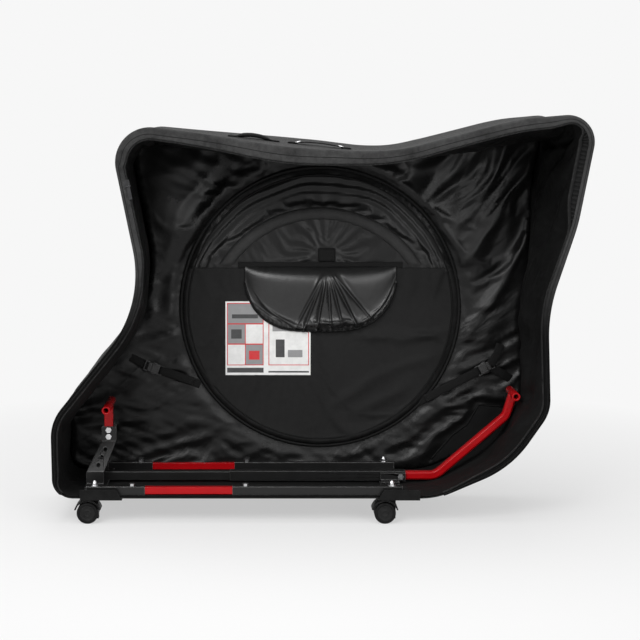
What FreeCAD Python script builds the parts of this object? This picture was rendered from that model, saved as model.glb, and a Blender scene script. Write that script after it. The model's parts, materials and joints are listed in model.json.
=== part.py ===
import FreeCAD, Part
import math
import os
import re

import Sketcher
from FreeCAD import Placement, Rotation, Vector

# Soft bike travel case, open on its near side, with a wheeled steel stand inside.
# Millimetres. +X to the front, -Y to the open side, +Z up, the floor at z = 0.

# Driving sizes
SIZES = {
    # axles that the stand holds
    "wheelbase": 966,
    "rear_axle_x": -493,
    "rear_axle_z": 252,
    "fork_axle_z": 281,
    "axle_bore": 12,
    "sleeve_diameter": 20,
    "fork_sleeve_length": 100,
    "rear_sleeve_length": 142,
    # clearances
    "tube_gap": 0.3,
    "hole_gap": 0.3,
    "running_gap": 0.05,
    "seat_gap": 0.05,
    "overcut": 2,
    # rails
    "rail_spacing": 260,
    "rail_size": 20,
    "tube_wall": 1.5,
    "rail_overhang": 42,
    "rear_rail_length": 137,
    "splice_show": 203,
    "splice_insert": 50,
    "rail_setback": 273,
    "lock_bolt_inset": 30,
    "plug_cap": 2.5,
    "plug_depth": 12,
    # cross plates and spine
    "cross_thickness": 4,
    "rear_cross_width": 50,
    "rear_cross_overhang": 8,
    "front_cross_width": 45,
    "spine_size": 24,
    "spine_setback": 256,
    "spine_front_length": 421,
    "spine_overlap": 109,
    "spine_rear_inset": 15,
    "bracket_thickness": 6,
    "bracket_length": 60,
    "bracket_height": 21,
    "bracket_foot": 22,
    "bracket_foot_thickness": 4,
    "clamp_screw_inset": 12,
    # fork tube
    "fork_insert": 180,
    "fork_reach": 73,
    "fork_bend_radius": 40,
    "elbow_radius": 30,
    "elbow_back": 17,
    "elbow_drop": 54,
    "tube_corner": 4,
    # rear tower
    "tower_plate": 3,
    "tower_half_width": 60,
    "tower_foot": 22,
    "tower_base_length": 42,
    "tower_bend_height": 30,
    "tower_tab_height": 95,
    "tower_top_height": 131,
    "tower_tab_length": 34,
    "tower_hole": 8,
    "tower_bolt_inset": 12,
    "tower_bolt_spacing": 16,
    "post_size": 20,
    "post_foot": 78,
    # fasteners
    "stem_diameter": 8,
    "screw_diameter": 6,
    "hex_width": 13,
    "nut_height": 7,
    "nut_dome": 6,
    "head_height": 6,
    "screw_grip": 10,
    # casters
    "wheel_diameter": 50,
    "wheel_width": 13,
    "wheel_edge": 2.5,
    "wheel_recess": 1.5,
    "wheel_recess_radius": 18,
    "web_width": 14,
    "web_radius": 21,
    "wheel_side_gap": 0.6,
    "trail": 16,
    "caster_axle_diameter": 6,
    "fender_gap": 3,
    "fender_thickness": 3.5,
    "fender_rise": 8,
    "stem_housing_front": 9,
    "stem_housing_foot": 10,
    "stem_foot": 30,
    "swivel_gap": 0.5,
    "stem_rear_inset": 20,
    "stem_front_inset": 25,
    "shoe_thickness": 3,
    "shoe_length": 97,
    "rear_shoe_reach": 32,
    "front_shoe_reach": 64,
    "shoe_width": 50,
    "shoe_upstand": 25,
    "shoe_slope": 14,
    "shoe_gap": 2.5,
    # soft case
    "side_room": 10,
    "flare": 55,
    "panel_thickness": 8,
    "gusset_thickness": 3.5,
    "floor_thickness": 6,
    "border_thickness": 3,
    "heel_room": 66.5,
    "heel_radius": 45,
    "tail_drop": 11,
    "tail_radius": 109,
    "waist_radius": 281,
    "crest_radius": 77,
    "dip_radius": 398,
    "brow_radius": 549,
    "nose_radius": 59,
    "cheek_radius": 416,
    "throat_radius": 366,
    "belly_drop": 5,
    "belly_radius": 89,
    "chin_radius": 238,
    "toe_radius": 167,
    "waist_room": 61.7,
    "waist_rise": 45.3,
    "crest_inset": 140.7,
    "crest_rise": 65.4,
    "dip_forward": 148.9,
    "roof_room": 43.7,
    "brow_inset": 173.2,
    "brow_rise": 73.2,
    "nose_forward": 101.15,
    "nose_rise": 87.7,
    "cheek_forward": 59.8,
    "cheek_drop": 248.3,
    "front_room": 46.9,
    "throat_drop": 445.2,
    "belly_forward": 12.9,
    "chin_inset": 85.4,
    "chin_rise": 75.5,
    "toe_setback": 13.1,
    "border_rear": 15,
    "border_top": 26,
    "border_front": 11,
    "chain_width": 5,
    # wheel pocket on the far panel
    "pocket_radius": 345,
    "pocket_forward": 27,
    "pocket_floor_room": 37,
    "pocket_depth": 18,
    "lower_panel_depth": 2,
    "lower_panel_inset": 3,
    "ring_radius": 292,
    "ring_width": 28,
    "ring_depth": 10,
    "ring_drop": 47,
    "strap_rise": 96,
    "strap_length": 392,
    "strap_width": 12,
    "strap_depth": 3,
    "pouch_width": 378,
    "pouch_drop": 148,
    "pouch_depth": 28,
    "pouch_corner": 110,
    "pouch_top_corner": 6,
    "hub_patch_width": 42,
    "hub_patch_height": 33,
    "card_width": 210,
    "card_height": 183,
    "card_depth": 1,
    "card_left": 234,
    "card_drop": 80,
    "webbing_width": 20,
    "webbing_depth": 2,
    "rear_strap_drop": 191,
    "rear_strap_run": 113,
    "rear_strap_rise": 41,
    "front_strap_drop": 247,
    "front_strap_run": 143,
    "front_strap_rise": 82,
    "buckle_length": 32,
    "buckle_width": 26,
    "buckle_depth": 7,
    # zip slider
    "slider_length": 16,
    "slider_plate": 2,
    "slider_gap": 0.3,
    "slider_reach": 6,
    "slider_inset": 31,
    "pull_length": 30,
    "pull_width": 8,
    "pull_thickness": 1.6,
    "pull_bar_diameter": 2.4,
    "pull_post": 2,
    # carrying webbing on top
    "handle_back": 163,
    "handle_length": 101,
    "handle_width": 34,
    "handle_depth": 7,
    "top_strap_back": 9,
    "top_strap_length": 98,
    "top_strap_width": 25,
    "top_strap_depth": 2.5,
    "ring_plate_length": 13,
    "ring_plate_width": 34,
    "ring_plate_depth": 2.5,
    "ring_plate_gap": 0.3,
}

# Places worked out from the driving sizes
PLACES = {
    "fork_axle_x": "rear_axle_x + wheelbase",
    "wheel_radius": "wheel_diameter / 2",
    "shoe_z": "wheel_diameter + fender_gap + fender_thickness + swivel_gap",
    "floor_z": "shoe_z + shoe_thickness",
    "rail_z": "floor_z + floor_thickness",
    "rail_mid_z": "rail_z + rail_size / 2",
    "rail_top_z": "rail_z + rail_size",
    "rail_y": "rail_spacing / 2",
    "rail_rear_x": "rear_axle_x - rail_overhang",
    "splice_x": "rail_rear_x + rear_rail_length",
    "front_rail_x": "splice_x + splice_show",
    "rail_front_x": "fork_axle_x - rail_setback",
    "rear_lock_x": "splice_x - lock_bolt_inset",
    "front_lock_x": "front_rail_x + lock_bolt_inset",
    "rear_stem_x": "rail_rear_x + stem_rear_inset",
    "front_stem_x": "rail_front_x - stem_front_inset",
    "splice_size": "rail_size - 2 * tube_wall - 2 * tube_gap",
    "cross_span": "rail_spacing - rail_size",
    "rear_cross_x": "rail_rear_x - rear_cross_overhang",
    "rear_cross_thickness": "cross_thickness + tube_wall + tube_gap",
    "rear_cross_top": "rail_z + rear_cross_thickness",
    "front_cross_top": "rail_z + cross_thickness",
    "spine_front_x": "fork_axle_x - spine_setback",
    "spine_joint_x": "spine_front_x - spine_front_length",
    "spine_mid_z": "front_cross_top + spine_size / 2",
    "slide_size": "spine_size - 2 * tube_wall - 2 * tube_gap",
    "spine_rear_x": "rear_cross_x + spine_rear_inset",
    "fork_bend_x": "spine_front_x + fork_reach",
    "sleeve_radius": "sleeve_diameter / 2",
    "clamp_x": "spine_front_x - clamp_screw_inset",
    "bracket_x": "spine_front_x - bracket_length",
    "tower_x": "rear_cross_x + tower_base_length / 2",
    "post_z": "rail_top_z + post_foot",
    "shoe_y": "base_half_width + shoe_gap",
    "wheel_y": "web_width / 2 + wheel_side_gap + wheel_width / 2",
    "hex_radius": "hex_width / sqrt(3)",
    "base_half_width": "rail_y + rail_size / 2 + side_room",
    "tail_x": "rear_cross_x - heel_room",
    "tail_z": "rear_axle_z - tail_drop",
    "pocket_x": "rear_axle_x + wheelbase / 2 + pocket_forward",
    "pocket_z": "rail_top_z + pocket_floor_room + pocket_radius",
    "waist_x": "pocket_x - pocket_radius - waist_room",
    "waist_z": "pocket_z + waist_rise",
    "dip_x": "pocket_x + dip_forward",
    "dip_z": "pocket_z + pocket_radius + roof_room",
    "crest_x": "tail_x + crest_inset",
    "crest_z": "dip_z + crest_rise",
    "throat_x": "fork_axle_x + front_room",
    "nose_x": "throat_x + nose_forward",
    "nose_z": "dip_z + nose_rise",
    "throat_z": "nose_z - throat_drop",
    "brow_x": "nose_x - brow_inset",
    "brow_z": "dip_z + brow_rise",
    "cheek_x": "throat_x + cheek_forward",
    "cheek_z": "nose_z - cheek_drop",
    "belly_x": "throat_x + belly_forward",
    "belly_z": "fork_axle_z - sleeve_radius - belly_drop",
    "chin_x": "belly_x - chin_inset",
    "chin_z": "floor_z + chin_rise",
    "toe_x": "fork_bend_x - toe_setback",
    "strap_z": "pocket_z + strap_rise",
    "handle_x": "pocket_x - handle_back",
    "top_strap_x": "pocket_x - top_strap_back",
}

SIDES = {"near": -1, "far": 1}

doc = FreeCAD.newDocument("bike_travel_case")
nodes = {}


def bind(formula):
    """Spell a formula over the named sizes and places the way the document reads it."""
    def full_name(match):
        word = match.group(0)
        if word in SIZES:
            return "sizes." + word
        if word in PLACES:
            return "places." + word
        return word
    return re.sub(r"[A-Za-z_]\w*", full_name, str(formula))


def fill_sheet(name, entries):
    sheet = doc.addObject("Spreadsheet::Sheet", name)
    for row, (alias, content) in enumerate(entries.items(), start=1):
        sheet.set(f"A{row}", alias)
        sheet.set(f"B{row}", content)
        sheet.setAlias(f"B{row}", alias)
    return sheet


fill_sheet("sizes", {name: str(size) for name, size in SIZES.items()})
places = fill_sheet("places", {name: "=" + bind(rule) for name, rule in PLACES.items()})
doc.recompute()


def number(formula):
    """The present value of a formula over the sizes and places."""
    return float(places.evalExpression(bind(formula)))


def tie(item, **formulas):
    """Bind properties of an object to formulas; x, y and z stand for its place."""
    for name, formula in formulas.items():
        if name in ("x", "y", "z"):
            name = "Placement.Base." + name
        item.setExpression(name, bind(formula))
    return item


def box(name, x, y, z, length, width, height):
    item = doc.addObject("Part::Box", name)
    return tie(item, x=x, y=y, z=z, Length=length, Width=width, Height=height)


TURNS = {
    "x": Rotation(Vector(0, 1, 0), 90),
    "y": Rotation(Vector(1, 0, 0), -90),
    "z": Rotation(),
}


def rod(name, axis, x, y, z, radius, length):
    """A cylinder that starts at a point and runs along +X, +Y or +Z."""
    item = doc.addObject("Part::Cylinder", name)
    item.Placement = Placement(Vector(), TURNS[axis])
    return tie(item, x=x, y=y, z=z, Radius=radius, Height=length)


def hexagon(name, axis, x, y, z, radius, length):
    item = doc.addObject("Part::Prism", name)
    item.Polygon = 6
    item.Placement = Placement(Vector(), TURNS[axis])
    return tie(item, x=x, y=y, z=z, Circumradius=radius, Height=length)


def group(name, pieces):
    item = doc.addObject("Part::Compound", name)
    item.Links = pieces
    return item


def cut(name, base, tools):
    item = doc.addObject("Part::Cut", name)
    item.Base = base
    item.Tool = tools[0] if len(tools) == 1 else group(name + "_cuts", tools)
    return item


def fuse(name, pieces):
    item = doc.addObject("Part::MultiFuse", name)
    item.Shapes = pieces
    return item


def common(name, base, tool):
    item = doc.addObject("Part::Common", name)
    item.Base = base
    item.Tool = tool
    return item


def feature(name, shape):
    item = doc.addObject("Part::Feature", name)
    item.Shape = shape
    return item


def node(item, name):
    """Name a finished sub-part."""
    item.Label = name
    nodes[name] = item
    return item


def sketch_on(body, role, name):
    plane = next(item for item in body.Origin.OriginFeatures if item.Role == role)
    sketch = body.newObject("Sketcher::SketchObject", name)
    sketch.AttachmentSupport = (plane, [""])
    sketch.MapMode = "FlatFace"
    return sketch


def draw(sketch, corners, closed=True):
    """Straight lines through corners given as pairs of formulas, each corner tied to its pair."""
    points = [Vector(number(across), number(up), 0) for across, up in corners]
    count = len(points) if closed else len(points) - 1
    for index in range(count):
        sketch.addGeometry(Part.LineSegment(points[index], points[(index + 1) % len(points)]))
    for index in range(count if closed else count - 1):
        sketch.addConstraint(Sketcher.Constraint("Coincident", index, 2, (index + 1) % count, 1))
    for index, corner in enumerate(corners):
        line, end = (index, 1) if index < count else (count - 1, 2)
        for kind, formula in zip(("DistanceX", "DistanceY"), corner):
            place = Sketcher.Constraint(kind, -1, 1, line, end, number(formula))
            sketch.setExpression(f"Constraints[{sketch.addConstraint(place)}]", bind(formula))


def pad(name, role, corners, depth):
    """A body padded evenly both ways from a polygon on one of its origin planes."""
    body = doc.addObject("PartDesign::Body", name)
    sketch = sketch_on(body, role, name + "_sketch")
    draw(sketch, corners)
    doc.recompute()
    solid = body.newObject("PartDesign::Pad", name + "_pad")
    solid.Profile = sketch
    solid.Midplane = True
    tie(solid, Length=depth)
    return body


def square_tube(name, x, y, z, length, size, wall, cuts=()):
    """A square tube along X: x is its rear end, y and z its middle."""
    outer = box(name + "_outer", x, f"{y} - ({size}) / 2", f"{z} - ({size}) / 2", length, size, size)
    bore = f"({size}) - 2 * ({wall})"
    inner = box(name + "_bore", f"{x} - overcut", f"{y} - ({bore}) / 2", f"{z} - ({bore}) / 2",
                f"{length} + 2 * overcut", bore, bore)
    return cut(name, outer, [inner, *cuts])


# Stand: rails, splices, plugs
def stem_hole(name, x, y):
    """The vertical hole of a caster stem through whatever stands between the shoe and the nut."""
    return rod(name, "z", x, y, "shoe_z - overcut", "stem_diameter / 2 + hole_gap",
               "rail_top_z - shoe_z + 2 * overcut")


def lock_hole(name, x, y):
    return rod(name, "z", x, y, "rail_mid_z", "screw_diameter / 2 + hole_gap", "rail_size")


def make_rails():
    plugs = []
    for side, sign in SIDES.items():
        y = f"{sign} * rail_y"
        node(square_tube(f"{side}_rear_rail", "rail_rear_x", y, "rail_mid_z", "rear_rail_length",
                         "rail_size", "tube_wall",
                         [stem_hole(f"{side}_rear_stem_hole", "rear_stem_x", y),
                          lock_hole(f"{side}_rear_lock_hole", "rear_lock_x", y)]), f"{side}_rear_rail")
        node(square_tube(f"{side}_front_rail", "front_rail_x", y, "rail_mid_z",
                         "rail_front_x - front_rail_x", "rail_size", "tube_wall",
                         [stem_hole(f"{side}_front_stem_hole", "front_stem_x", y),
                          lock_hole(f"{side}_front_lock_hole", "front_lock_x", y)]), f"{side}_front_rail")
        node(square_tube(f"{side}_splice_tube", "splice_x - splice_insert", y, "rail_mid_z",
                         "splice_show + 2 * splice_insert", "splice_size", "tube_wall",
                         [lock_hole(f"{side}_splice_rear_hole", "rear_lock_x", y),
                          lock_hole(f"{side}_splice_front_hole", "front_lock_x", y)]), f"{side}_splice_tube")
        for end, x, inwards in (("rear", "rail_rear_x", 1), ("front", "rail_front_x", -1)):
            name = f"{side}_{end}_plug"
            cap_x = f"{x} - plug_cap" if inwards > 0 else x
            tongue_x = x if inwards > 0 else f"{x} - plug_depth"
            cap = box(name + "_cap", cap_x, f"{y} - rail_size / 2", "rail_z", "plug_cap", "rail_size",
                      "rail_size")
            tongue = box(name + "_tongue", tongue_x, f"{y} - splice_size / 2",
                         "rail_mid_z - splice_size / 2", "plug_depth", "splice_size", "splice_size")
            plugs.append(fuse(name, [cap, tongue]))
    node(group("rail_end_plugs", plugs), "rail_end_plugs")


def make_cross_plates():
    y = "-cross_span / 2"
    node(box("rear_cross_plate", "rear_cross_x", y, "rail_z", "rear_cross_width", "cross_span",
             "rear_cross_thickness"), "rear_cross_plate")
    node(box("front_cross_plate", "rail_front_x - front_cross_width", y, "rail_z", "front_cross_width",
             "cross_span", "cross_thickness"), "front_cross_plate")


# Stand: spine, brackets and clamp screw
def make_spine():
    bore = rod("clamp_hole", "y", "clamp_x", "-spine_size", "spine_mid_z", "screw_diameter / 2 + hole_gap",
               "spine_size")
    node(square_tube("spine_front_tube", "spine_joint_x", "0", "spine_mid_z", "spine_front_length",
                     "spine_size", "tube_wall", [bore]), "spine_front_tube")
    node(square_tube("spine_rear_tube", "spine_rear_x", "0", "spine_mid_z",
                     "spine_joint_x + spine_overlap - spine_rear_x", "slide_size", "tube_wall"),
         "spine_rear_tube")
    for side, sign in SIDES.items():
        inner = "spine_size / 2"
        outer = "spine_size / 2 + bracket_thickness"
        low = inner if sign > 0 else f"-({outer})"
        foot_y = outer if sign > 0 else f"-({outer}) - bracket_foot"
        cheek = box(f"{side}_cheek", "bracket_x", low, "front_cross_top", "bracket_length",
                    "bracket_thickness", "bracket_height")
        foot = box(f"{side}_foot", "bracket_x", foot_y, "front_cross_top", "rail_front_x - bracket_x",
                   "bracket_foot", "bracket_foot_thickness")
        hole = rod(f"{side}_cheek_hole", "y", "clamp_x", f"{low} - overcut", "spine_mid_z",
                   "screw_diameter / 2 + hole_gap", "bracket_thickness + 2 * overcut")
        node(cut(f"{side}_spine_bracket", fuse(f"{side}_bracket_blank", [cheek, foot]), [hole]),
             f"{side}_spine_bracket")
    face = "-spine_size / 2 - bracket_thickness"
    head = hexagon("clamp_head", "y", "clamp_x", f"{face} - head_height", "spine_mid_z", "hex_radius",
                   "head_height")
    shank = rod("clamp_shank", "y", "clamp_x", face, "spine_mid_z", "screw_diameter / 2",
                "bracket_thickness + tube_wall")
    node(fuse("clamp_screw", [head, shank]), "clamp_screw")


# Stand: red fork tube, bent up to the axle sleeve
def tube_section(size):
    """Corners of a square section with its edges broken."""
    half = f"({size}) / 2"
    flat = f"({size}) / 2 - tube_corner"
    turns = ((half, flat, 1, 1), (flat, half, 1, 1), (flat, half, -1, 1), (half, flat, -1, 1),
             (half, flat, -1, -1), (flat, half, -1, -1), (flat, half, 1, -1), (half, flat, 1, -1))
    return [(f"{sx} * ({across})", f"{sz} * ({up})") for across, up, sx, sz in turns]


def bent_bar(name, section, path, radii):
    """A bar swept along a path of straight runs whose corners are rounded, starting along +X."""
    body = doc.addObject("PartDesign::Body", name)
    spine = sketch_on(body, "XZ_Plane", name + "_path")
    draw(spine, path, closed=False)
    for index, radius in enumerate(radii):
        spine.fillet(index, 2, number(radius), True, True)
        arc = spine.GeometryCount - 1
        while spine.Geometry[arc].TypeId != "Part::GeomArcOfCircle":
            arc -= 1
        spine.setExpression(
            f"Constraints[{spine.addConstraint(Sketcher.Constraint('Radius', arc, number(radius)))}]",
            bind(radius))
    profile = sketch_on(body, "YZ_Plane", name + "_profile")
    start_x, start_z = path[0]
    draw(profile, [(across, f"{start_z} + ({up})") for across, up in section])
    tie(profile, **{"AttachmentOffset.Base.z": start_x})
    doc.recompute()
    sweep = body.newObject("PartDesign::AdditivePipe", name + "_sweep")
    sweep.Profile = profile
    sweep.Spine = (spine, [f"Edge{index + 1}" for index in range(len(spine.Shape.Edges))])
    return body


def make_fork_support():
    path = [("spine_front_x - fork_insert", "spine_mid_z"), ("fork_bend_x", "spine_mid_z"),
            ("fork_axle_x - elbow_back", "fork_axle_z - elbow_drop"), ("fork_axle_x", "fork_axle_z")]
    radii = ["fork_bend_radius", "elbow_radius"]
    outer = bent_bar("fork_bar", tube_section("slide_size"), path, radii)
    inner = bent_bar("fork_bore", tube_section("slide_size - 2 * tube_wall"), path, radii)
    seat = rod("fork_seat", "y", "fork_axle_x", "-fork_sleeve_length / 2", "fork_axle_z",
               "sleeve_radius + seat_gap", "fork_sleeve_length")
    node(cut("fork_tube", outer, [inner, seat]), "fork_tube")


def make_sleeve(name, x, z, length):
    outer = rod(name + "_outer", "y", x, f"-{length} / 2", z, "sleeve_radius", length)
    bore = rod(name + "_bore", "y", x, f"-{length} / 2 - overcut", z, "axle_bore / 2",
               f"{length} + 2 * overcut")
    node(cut(name, outer, [bore]), name)


# Stand: rear tower, post and tower bolts
LOWER_TOWER_BOLT = "rear_cross_top + tower_tab_height + tower_bolt_inset"
TOWER_BOLT_HEIGHTS = (LOWER_TOWER_BOLT, LOWER_TOWER_BOLT + " + tower_bolt_spacing")


def tower_bolt_hole(name, height):
    return rod(name, "y", "rear_axle_x", "-tower_half_width", height, "screw_diameter / 2 + hole_gap",
               "2 * tower_half_width")


def make_tower():
    foot_z = "rear_cross_top"
    bend_z = "rear_cross_top + tower_bend_height"
    tab_z = "rear_cross_top + tower_tab_height"
    top_z = "rear_cross_top + tower_top_height"
    half = "tower_plate / 2"
    base_rear = "rear_cross_x"
    base_front = "rear_cross_x + tower_base_length"
    tab_rear = "rear_axle_x - tower_tab_length / 2"
    tab_front = "rear_axle_x + tower_tab_length / 2"
    side_view = [(base_rear, foot_z), (base_front, foot_z), (base_front, bend_z), (tab_front, tab_z),
                 (tab_front, top_z), (tab_rear, top_z), (tab_rear, tab_z), (base_rear, bend_z)]
    for side, sign in SIDES.items():
        outline = [("tower_half_width + tower_foot", foot_z),
                   ("tower_half_width + tower_foot", f"{foot_z} + tower_plate"),
                   ("tower_half_width", f"{foot_z} + tower_plate"),
                   ("tower_half_width", f"{bend_z} + {half}"),
                   ("post_size / 2 + tower_plate", f"{tab_z} + {half}"),
                   ("post_size / 2 + tower_plate", top_z),
                   ("post_size / 2", top_z),
                   ("post_size / 2", f"{tab_z} - {half}"),
                   ("tower_half_width - tower_plate", f"{bend_z} - {half}"),
                   ("tower_half_width - tower_plate", foot_z)]
        bent = pad(f"{side}_tower_bend", "YZ_Plane", [(f"{sign} * ({y})", z) for y, z in outline],
                   "4 * tower_base_length")
        tie(bent, x="tower_x")
        blank = pad(f"{side}_tower_side", "XZ_Plane", side_view, "4 * tower_half_width")
        holes = [tower_bolt_hole(f"{side}_tab_hole_{index}", height)
                 for index, height in enumerate(TOWER_BOLT_HEIGHTS)]
        for index in range(3):
            share = f"({index} + 1) / 4"
            x = f"tower_x + ({share}) * (rear_axle_x - tower_x)"
            z = f"{bend_z} + ({share}) * (tower_tab_height - tower_bend_height)"
            holes.append(rod(f"{side}_tower_hole_{index}", "y", x, "-tower_half_width", z, "tower_hole / 2",
                             "2 * tower_half_width"))
        node(cut(f"{side}_tower_plate", common(f"{side}_tower_blank", bent, blank), holes),
             f"{side}_tower_plate")


def make_post():
    size = "post_size"
    corner_x = "rear_axle_x - post_size / 2"
    height = "rear_axle_z - post_z"
    outer = box("post_outer", corner_x, "-post_size / 2", "post_z", size, size, height)
    bore = "post_size - 2 * tube_wall"
    inner = box("post_bore", f"{corner_x} + tube_wall", "-post_size / 2 + tube_wall", "post_z - overcut",
                bore, bore, f"{height} + overcut")
    seat = rod("post_seat", "y", "rear_axle_x", "-rear_sleeve_length / 2", "rear_axle_z",
               "sleeve_radius + seat_gap", "rear_sleeve_length")
    holes = [tower_bolt_hole(f"post_hole_{index}", level) for index, level in enumerate(TOWER_BOLT_HEIGHTS)]
    node(cut("rear_post", outer, [inner, seat, *holes]), "rear_post")


def make_tower_bolts():
    bolts = []
    face = "post_size / 2 + tower_plate"
    for index, height in enumerate(TOWER_BOLT_HEIGHTS):
        shank = rod(f"tower_shank_{index}", "y", "rear_axle_x", f"-({face})", height, "screw_diameter / 2",
                    f"2 * ({face})")
        head = hexagon(f"tower_head_{index}", "y", "rear_axle_x", f"-({face}) - head_height", height,
                       "hex_radius", "head_height")
        nut = hexagon(f"tower_nut_{index}", "y", "rear_axle_x", face, height, "hex_radius", "head_height")
        bolts.append(fuse(f"tower_bolt_{index}", [shank, head, nut]))
    node(group("tower_bolts", bolts), "tower_bolts")


# Fasteners on the rails
STEMS = {
    "near_rear": ("rear_stem_x", "-rail_y"),
    "near_front": ("front_stem_x", "-rail_y"),
    "far_rear": ("rear_stem_x", "rail_y"),
    "far_front": ("front_stem_x", "rail_y"),
}


def make_rail_fasteners():
    locks = []
    for side, sign in SIDES.items():
        for end, x in (("rear", "rear_lock_x"), ("front", "front_lock_x")):
            y = f"{sign} * rail_y"
            name = f"{side}_{end}_lock"
            head = hexagon(name + "_head", "z", x, y, "rail_top_z", "hex_radius", "head_height")
            shank = rod(name + "_shank", "z", x, y, "rail_top_z - screw_grip", "screw_diameter / 2",
                        "screw_grip")
            locks.append(fuse(name, [head, shank]))
    node(group("splice_bolts", locks), "splice_bolts")
    stems = []
    nuts = []
    for name, (x, y) in STEMS.items():
        stems.append(rod(name + "_stem", "z", x, y, "stem_foot", "stem_diameter / 2",
                         "rail_top_z + nut_height - stem_foot"))
        body = hexagon(name + "_nut_body", "z", x, y, "rail_top_z", "hex_radius", "nut_height")
        dome = doc.addObject("Part::Cone", name + "_nut_dome")
        tie(dome, x=x, y=y, z="rail_top_z + nut_height", Radius1="hex_width / 2", Radius2="hex_width / 4",
            Height="nut_dome")
        thread = rod(name + "_nut_bore", "z", x, y, "rail_top_z - overcut", "stem_diameter / 2 + seat_gap",
                     "nut_height + overcut")
        nuts.append(cut(name + "_nut", fuse(name + "_nut_blank", [body, dome]), [thread]))
    node(group("caster_stems", stems), "caster_stems")
    node(group("caster_nuts", nuts), "caster_nuts")


# Casters
def wheel(name, x, y, sign):
    """One wheel of a twin caster, turned about its axle, with its recess on the outer face."""
    half = "wheel_width / 2"
    body = doc.addObject("PartDesign::Body", name)
    profile = sketch_on(body, "YZ_Plane", name + "_profile")
    bore = "caster_axle_diameter / 2 + seat_gap"
    corners = [(f"-({half})", bore), (f"-({half})", "wheel_radius - wheel_edge"),
               (f"-({half}) + wheel_edge", "wheel_radius"), (f"{half} - wheel_edge", "wheel_radius"),
               (half, "wheel_radius - wheel_edge"), (half, "wheel_recess_radius"),
               (f"{half} - wheel_recess", "wheel_recess_radius - wheel_recess"),
               (f"{half} - wheel_recess", bore)]
    draw(profile, [(f"{sign} * ({across})", up) for across, up in corners])
    doc.recompute()
    turned = body.newObject("PartDesign::Revolution", name + "_turned")
    turned.Profile = profile
    turned.ReferenceAxis = (profile, ["H_Axis"])
    turned.Angle = 360
    return tie(body, x=x, y=y, z="wheel_radius")


def make_caster(name, stem_x, stem_y):
    axle_x = f"{stem_x} - trail"
    span = "2 * wheel_y + wheel_width"
    web = rod(name + "_web", "y", axle_x, f"{stem_y} - web_width / 2", "wheel_radius", "web_radius",
              "web_width")
    neck = box(name + "_neck", axle_x, f"{stem_y} - web_width / 2", "stem_housing_foot",
               "trail + stem_housing_front", "web_width", "shoe_z - swivel_gap - stem_housing_foot")
    rim = "wheel_radius + fender_gap"
    crown = rod(name + "_crown", "y", axle_x, f"{stem_y} - ({span}) / 2", "wheel_radius",
                f"{rim} + fender_thickness", span)
    hollow = rod(name + "_hollow", "y", axle_x, f"{stem_y} - ({span}) / 2 - overcut", "wheel_radius", rim,
                 f"{span} + 2 * overcut")
    keep = box(name + "_keep", f"{axle_x} - wheel_diameter", f"{stem_y} - ({span}) / 2 - overcut",
               "wheel_radius + fender_rise", "2 * wheel_diameter", f"{span} + 2 * overcut", "wheel_diameter")
    fender = common(name + "_fender", cut(name + "_band", crown, [hollow]), keep)
    pivot = rod(name + "_pivot", "z", stem_x, stem_y, "stem_foot", "stem_diameter / 2 + running_gap",
                "wheel_diameter")
    axle_hole = rod(name + "_axle_hole", "y", axle_x, f"{stem_y} - web_width", "wheel_radius",
                    "caster_axle_diameter / 2 + running_gap", "2 * web_width")
    blank = fuse(name + "_blank", [web, neck, fender])
    node(cut(name + "_housing", blank, [pivot, axle_hole]), name + "_housing")
    reach = "wheel_y + wheel_width / 2 - wheel_recess"
    node(rod(name + "_axle", "y", axle_x, f"{stem_y} - ({reach})", "wheel_radius",
             "caster_axle_diameter / 2", f"2 * ({reach})"), name + "_axle")
    pair = [wheel(f"{name}_wheel_{side}", axle_x, f"{stem_y} + {sign} * wheel_y", sign)
            for side, sign in SIDES.items()]
    node(group(name + "_wheels", pair), name + "_wheels")


def make_shoes():
    """Plastic shoes under the floor; each turns up outside the case and slopes towards the middle."""
    ends = {"rear": ("rear_stem_x", "rear_shoe_reach", 1), "front": ("front_stem_x", "front_shoe_reach", -1)}
    for end, (stem_x, reach, towards_middle) in ends.items():
        pair = []
        for side, sign in SIDES.items():
            name = f"{side}_{end}_shoe"
            outer = f"{stem_x} - {towards_middle} * {reach}"
            inner = f"{stem_x} + {towards_middle} * (shoe_length - {reach})"
            inner_top = f"{inner} - {towards_middle} * shoe_slope"
            face = [(outer, "shoe_z"), (inner, "shoe_z"), (inner_top, "shoe_z + shoe_upstand"),
                    (outer, "shoe_z + shoe_upstand")]
            upstand = pad(name + "_upstand", "XZ_Plane", face, "shoe_thickness")
            tie(upstand, y=f"{sign} * (shoe_y + shoe_thickness / 2)")
            low_x = outer if towards_middle > 0 else inner
            low_y = "shoe_y - shoe_width" if sign > 0 else "-shoe_y - shoe_thickness"
            sole = box(name + "_sole", low_x, low_y, "shoe_z", "shoe_length", "shoe_width + shoe_thickness",
                       "shoe_thickness")
            hole = stem_hole(name + "_hole", stem_x, f"{sign} * rail_y")
            pair.append(cut(name, fuse(name + "_blank", [sole, upstand]), [hole]))
        node(group(f"{end}_shoes", pair), f"{end}_shoes")


# Soft case: its side outline, walked from the rear bottom up, forward, down and back along the floor
OUTLINE = ("heel", "tail", "waist", "crest", "dip", "brow",
           "nose", "cheek", "throat", "belly", "chin", "toe")
CORNER_X = {"heel": "tail_x"}
CORNER_Z = {"heel": "floor_z", "toe": "floor_z"}


def outline_corners():
    corners = []
    for name in OUTLINE:
        x = number(CORNER_X.get(name, name + "_x"))
        z = number(CORNER_Z.get(name, name + "_z"))
        corners.append((x, z, number(name + "_radius")))
    return corners


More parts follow.
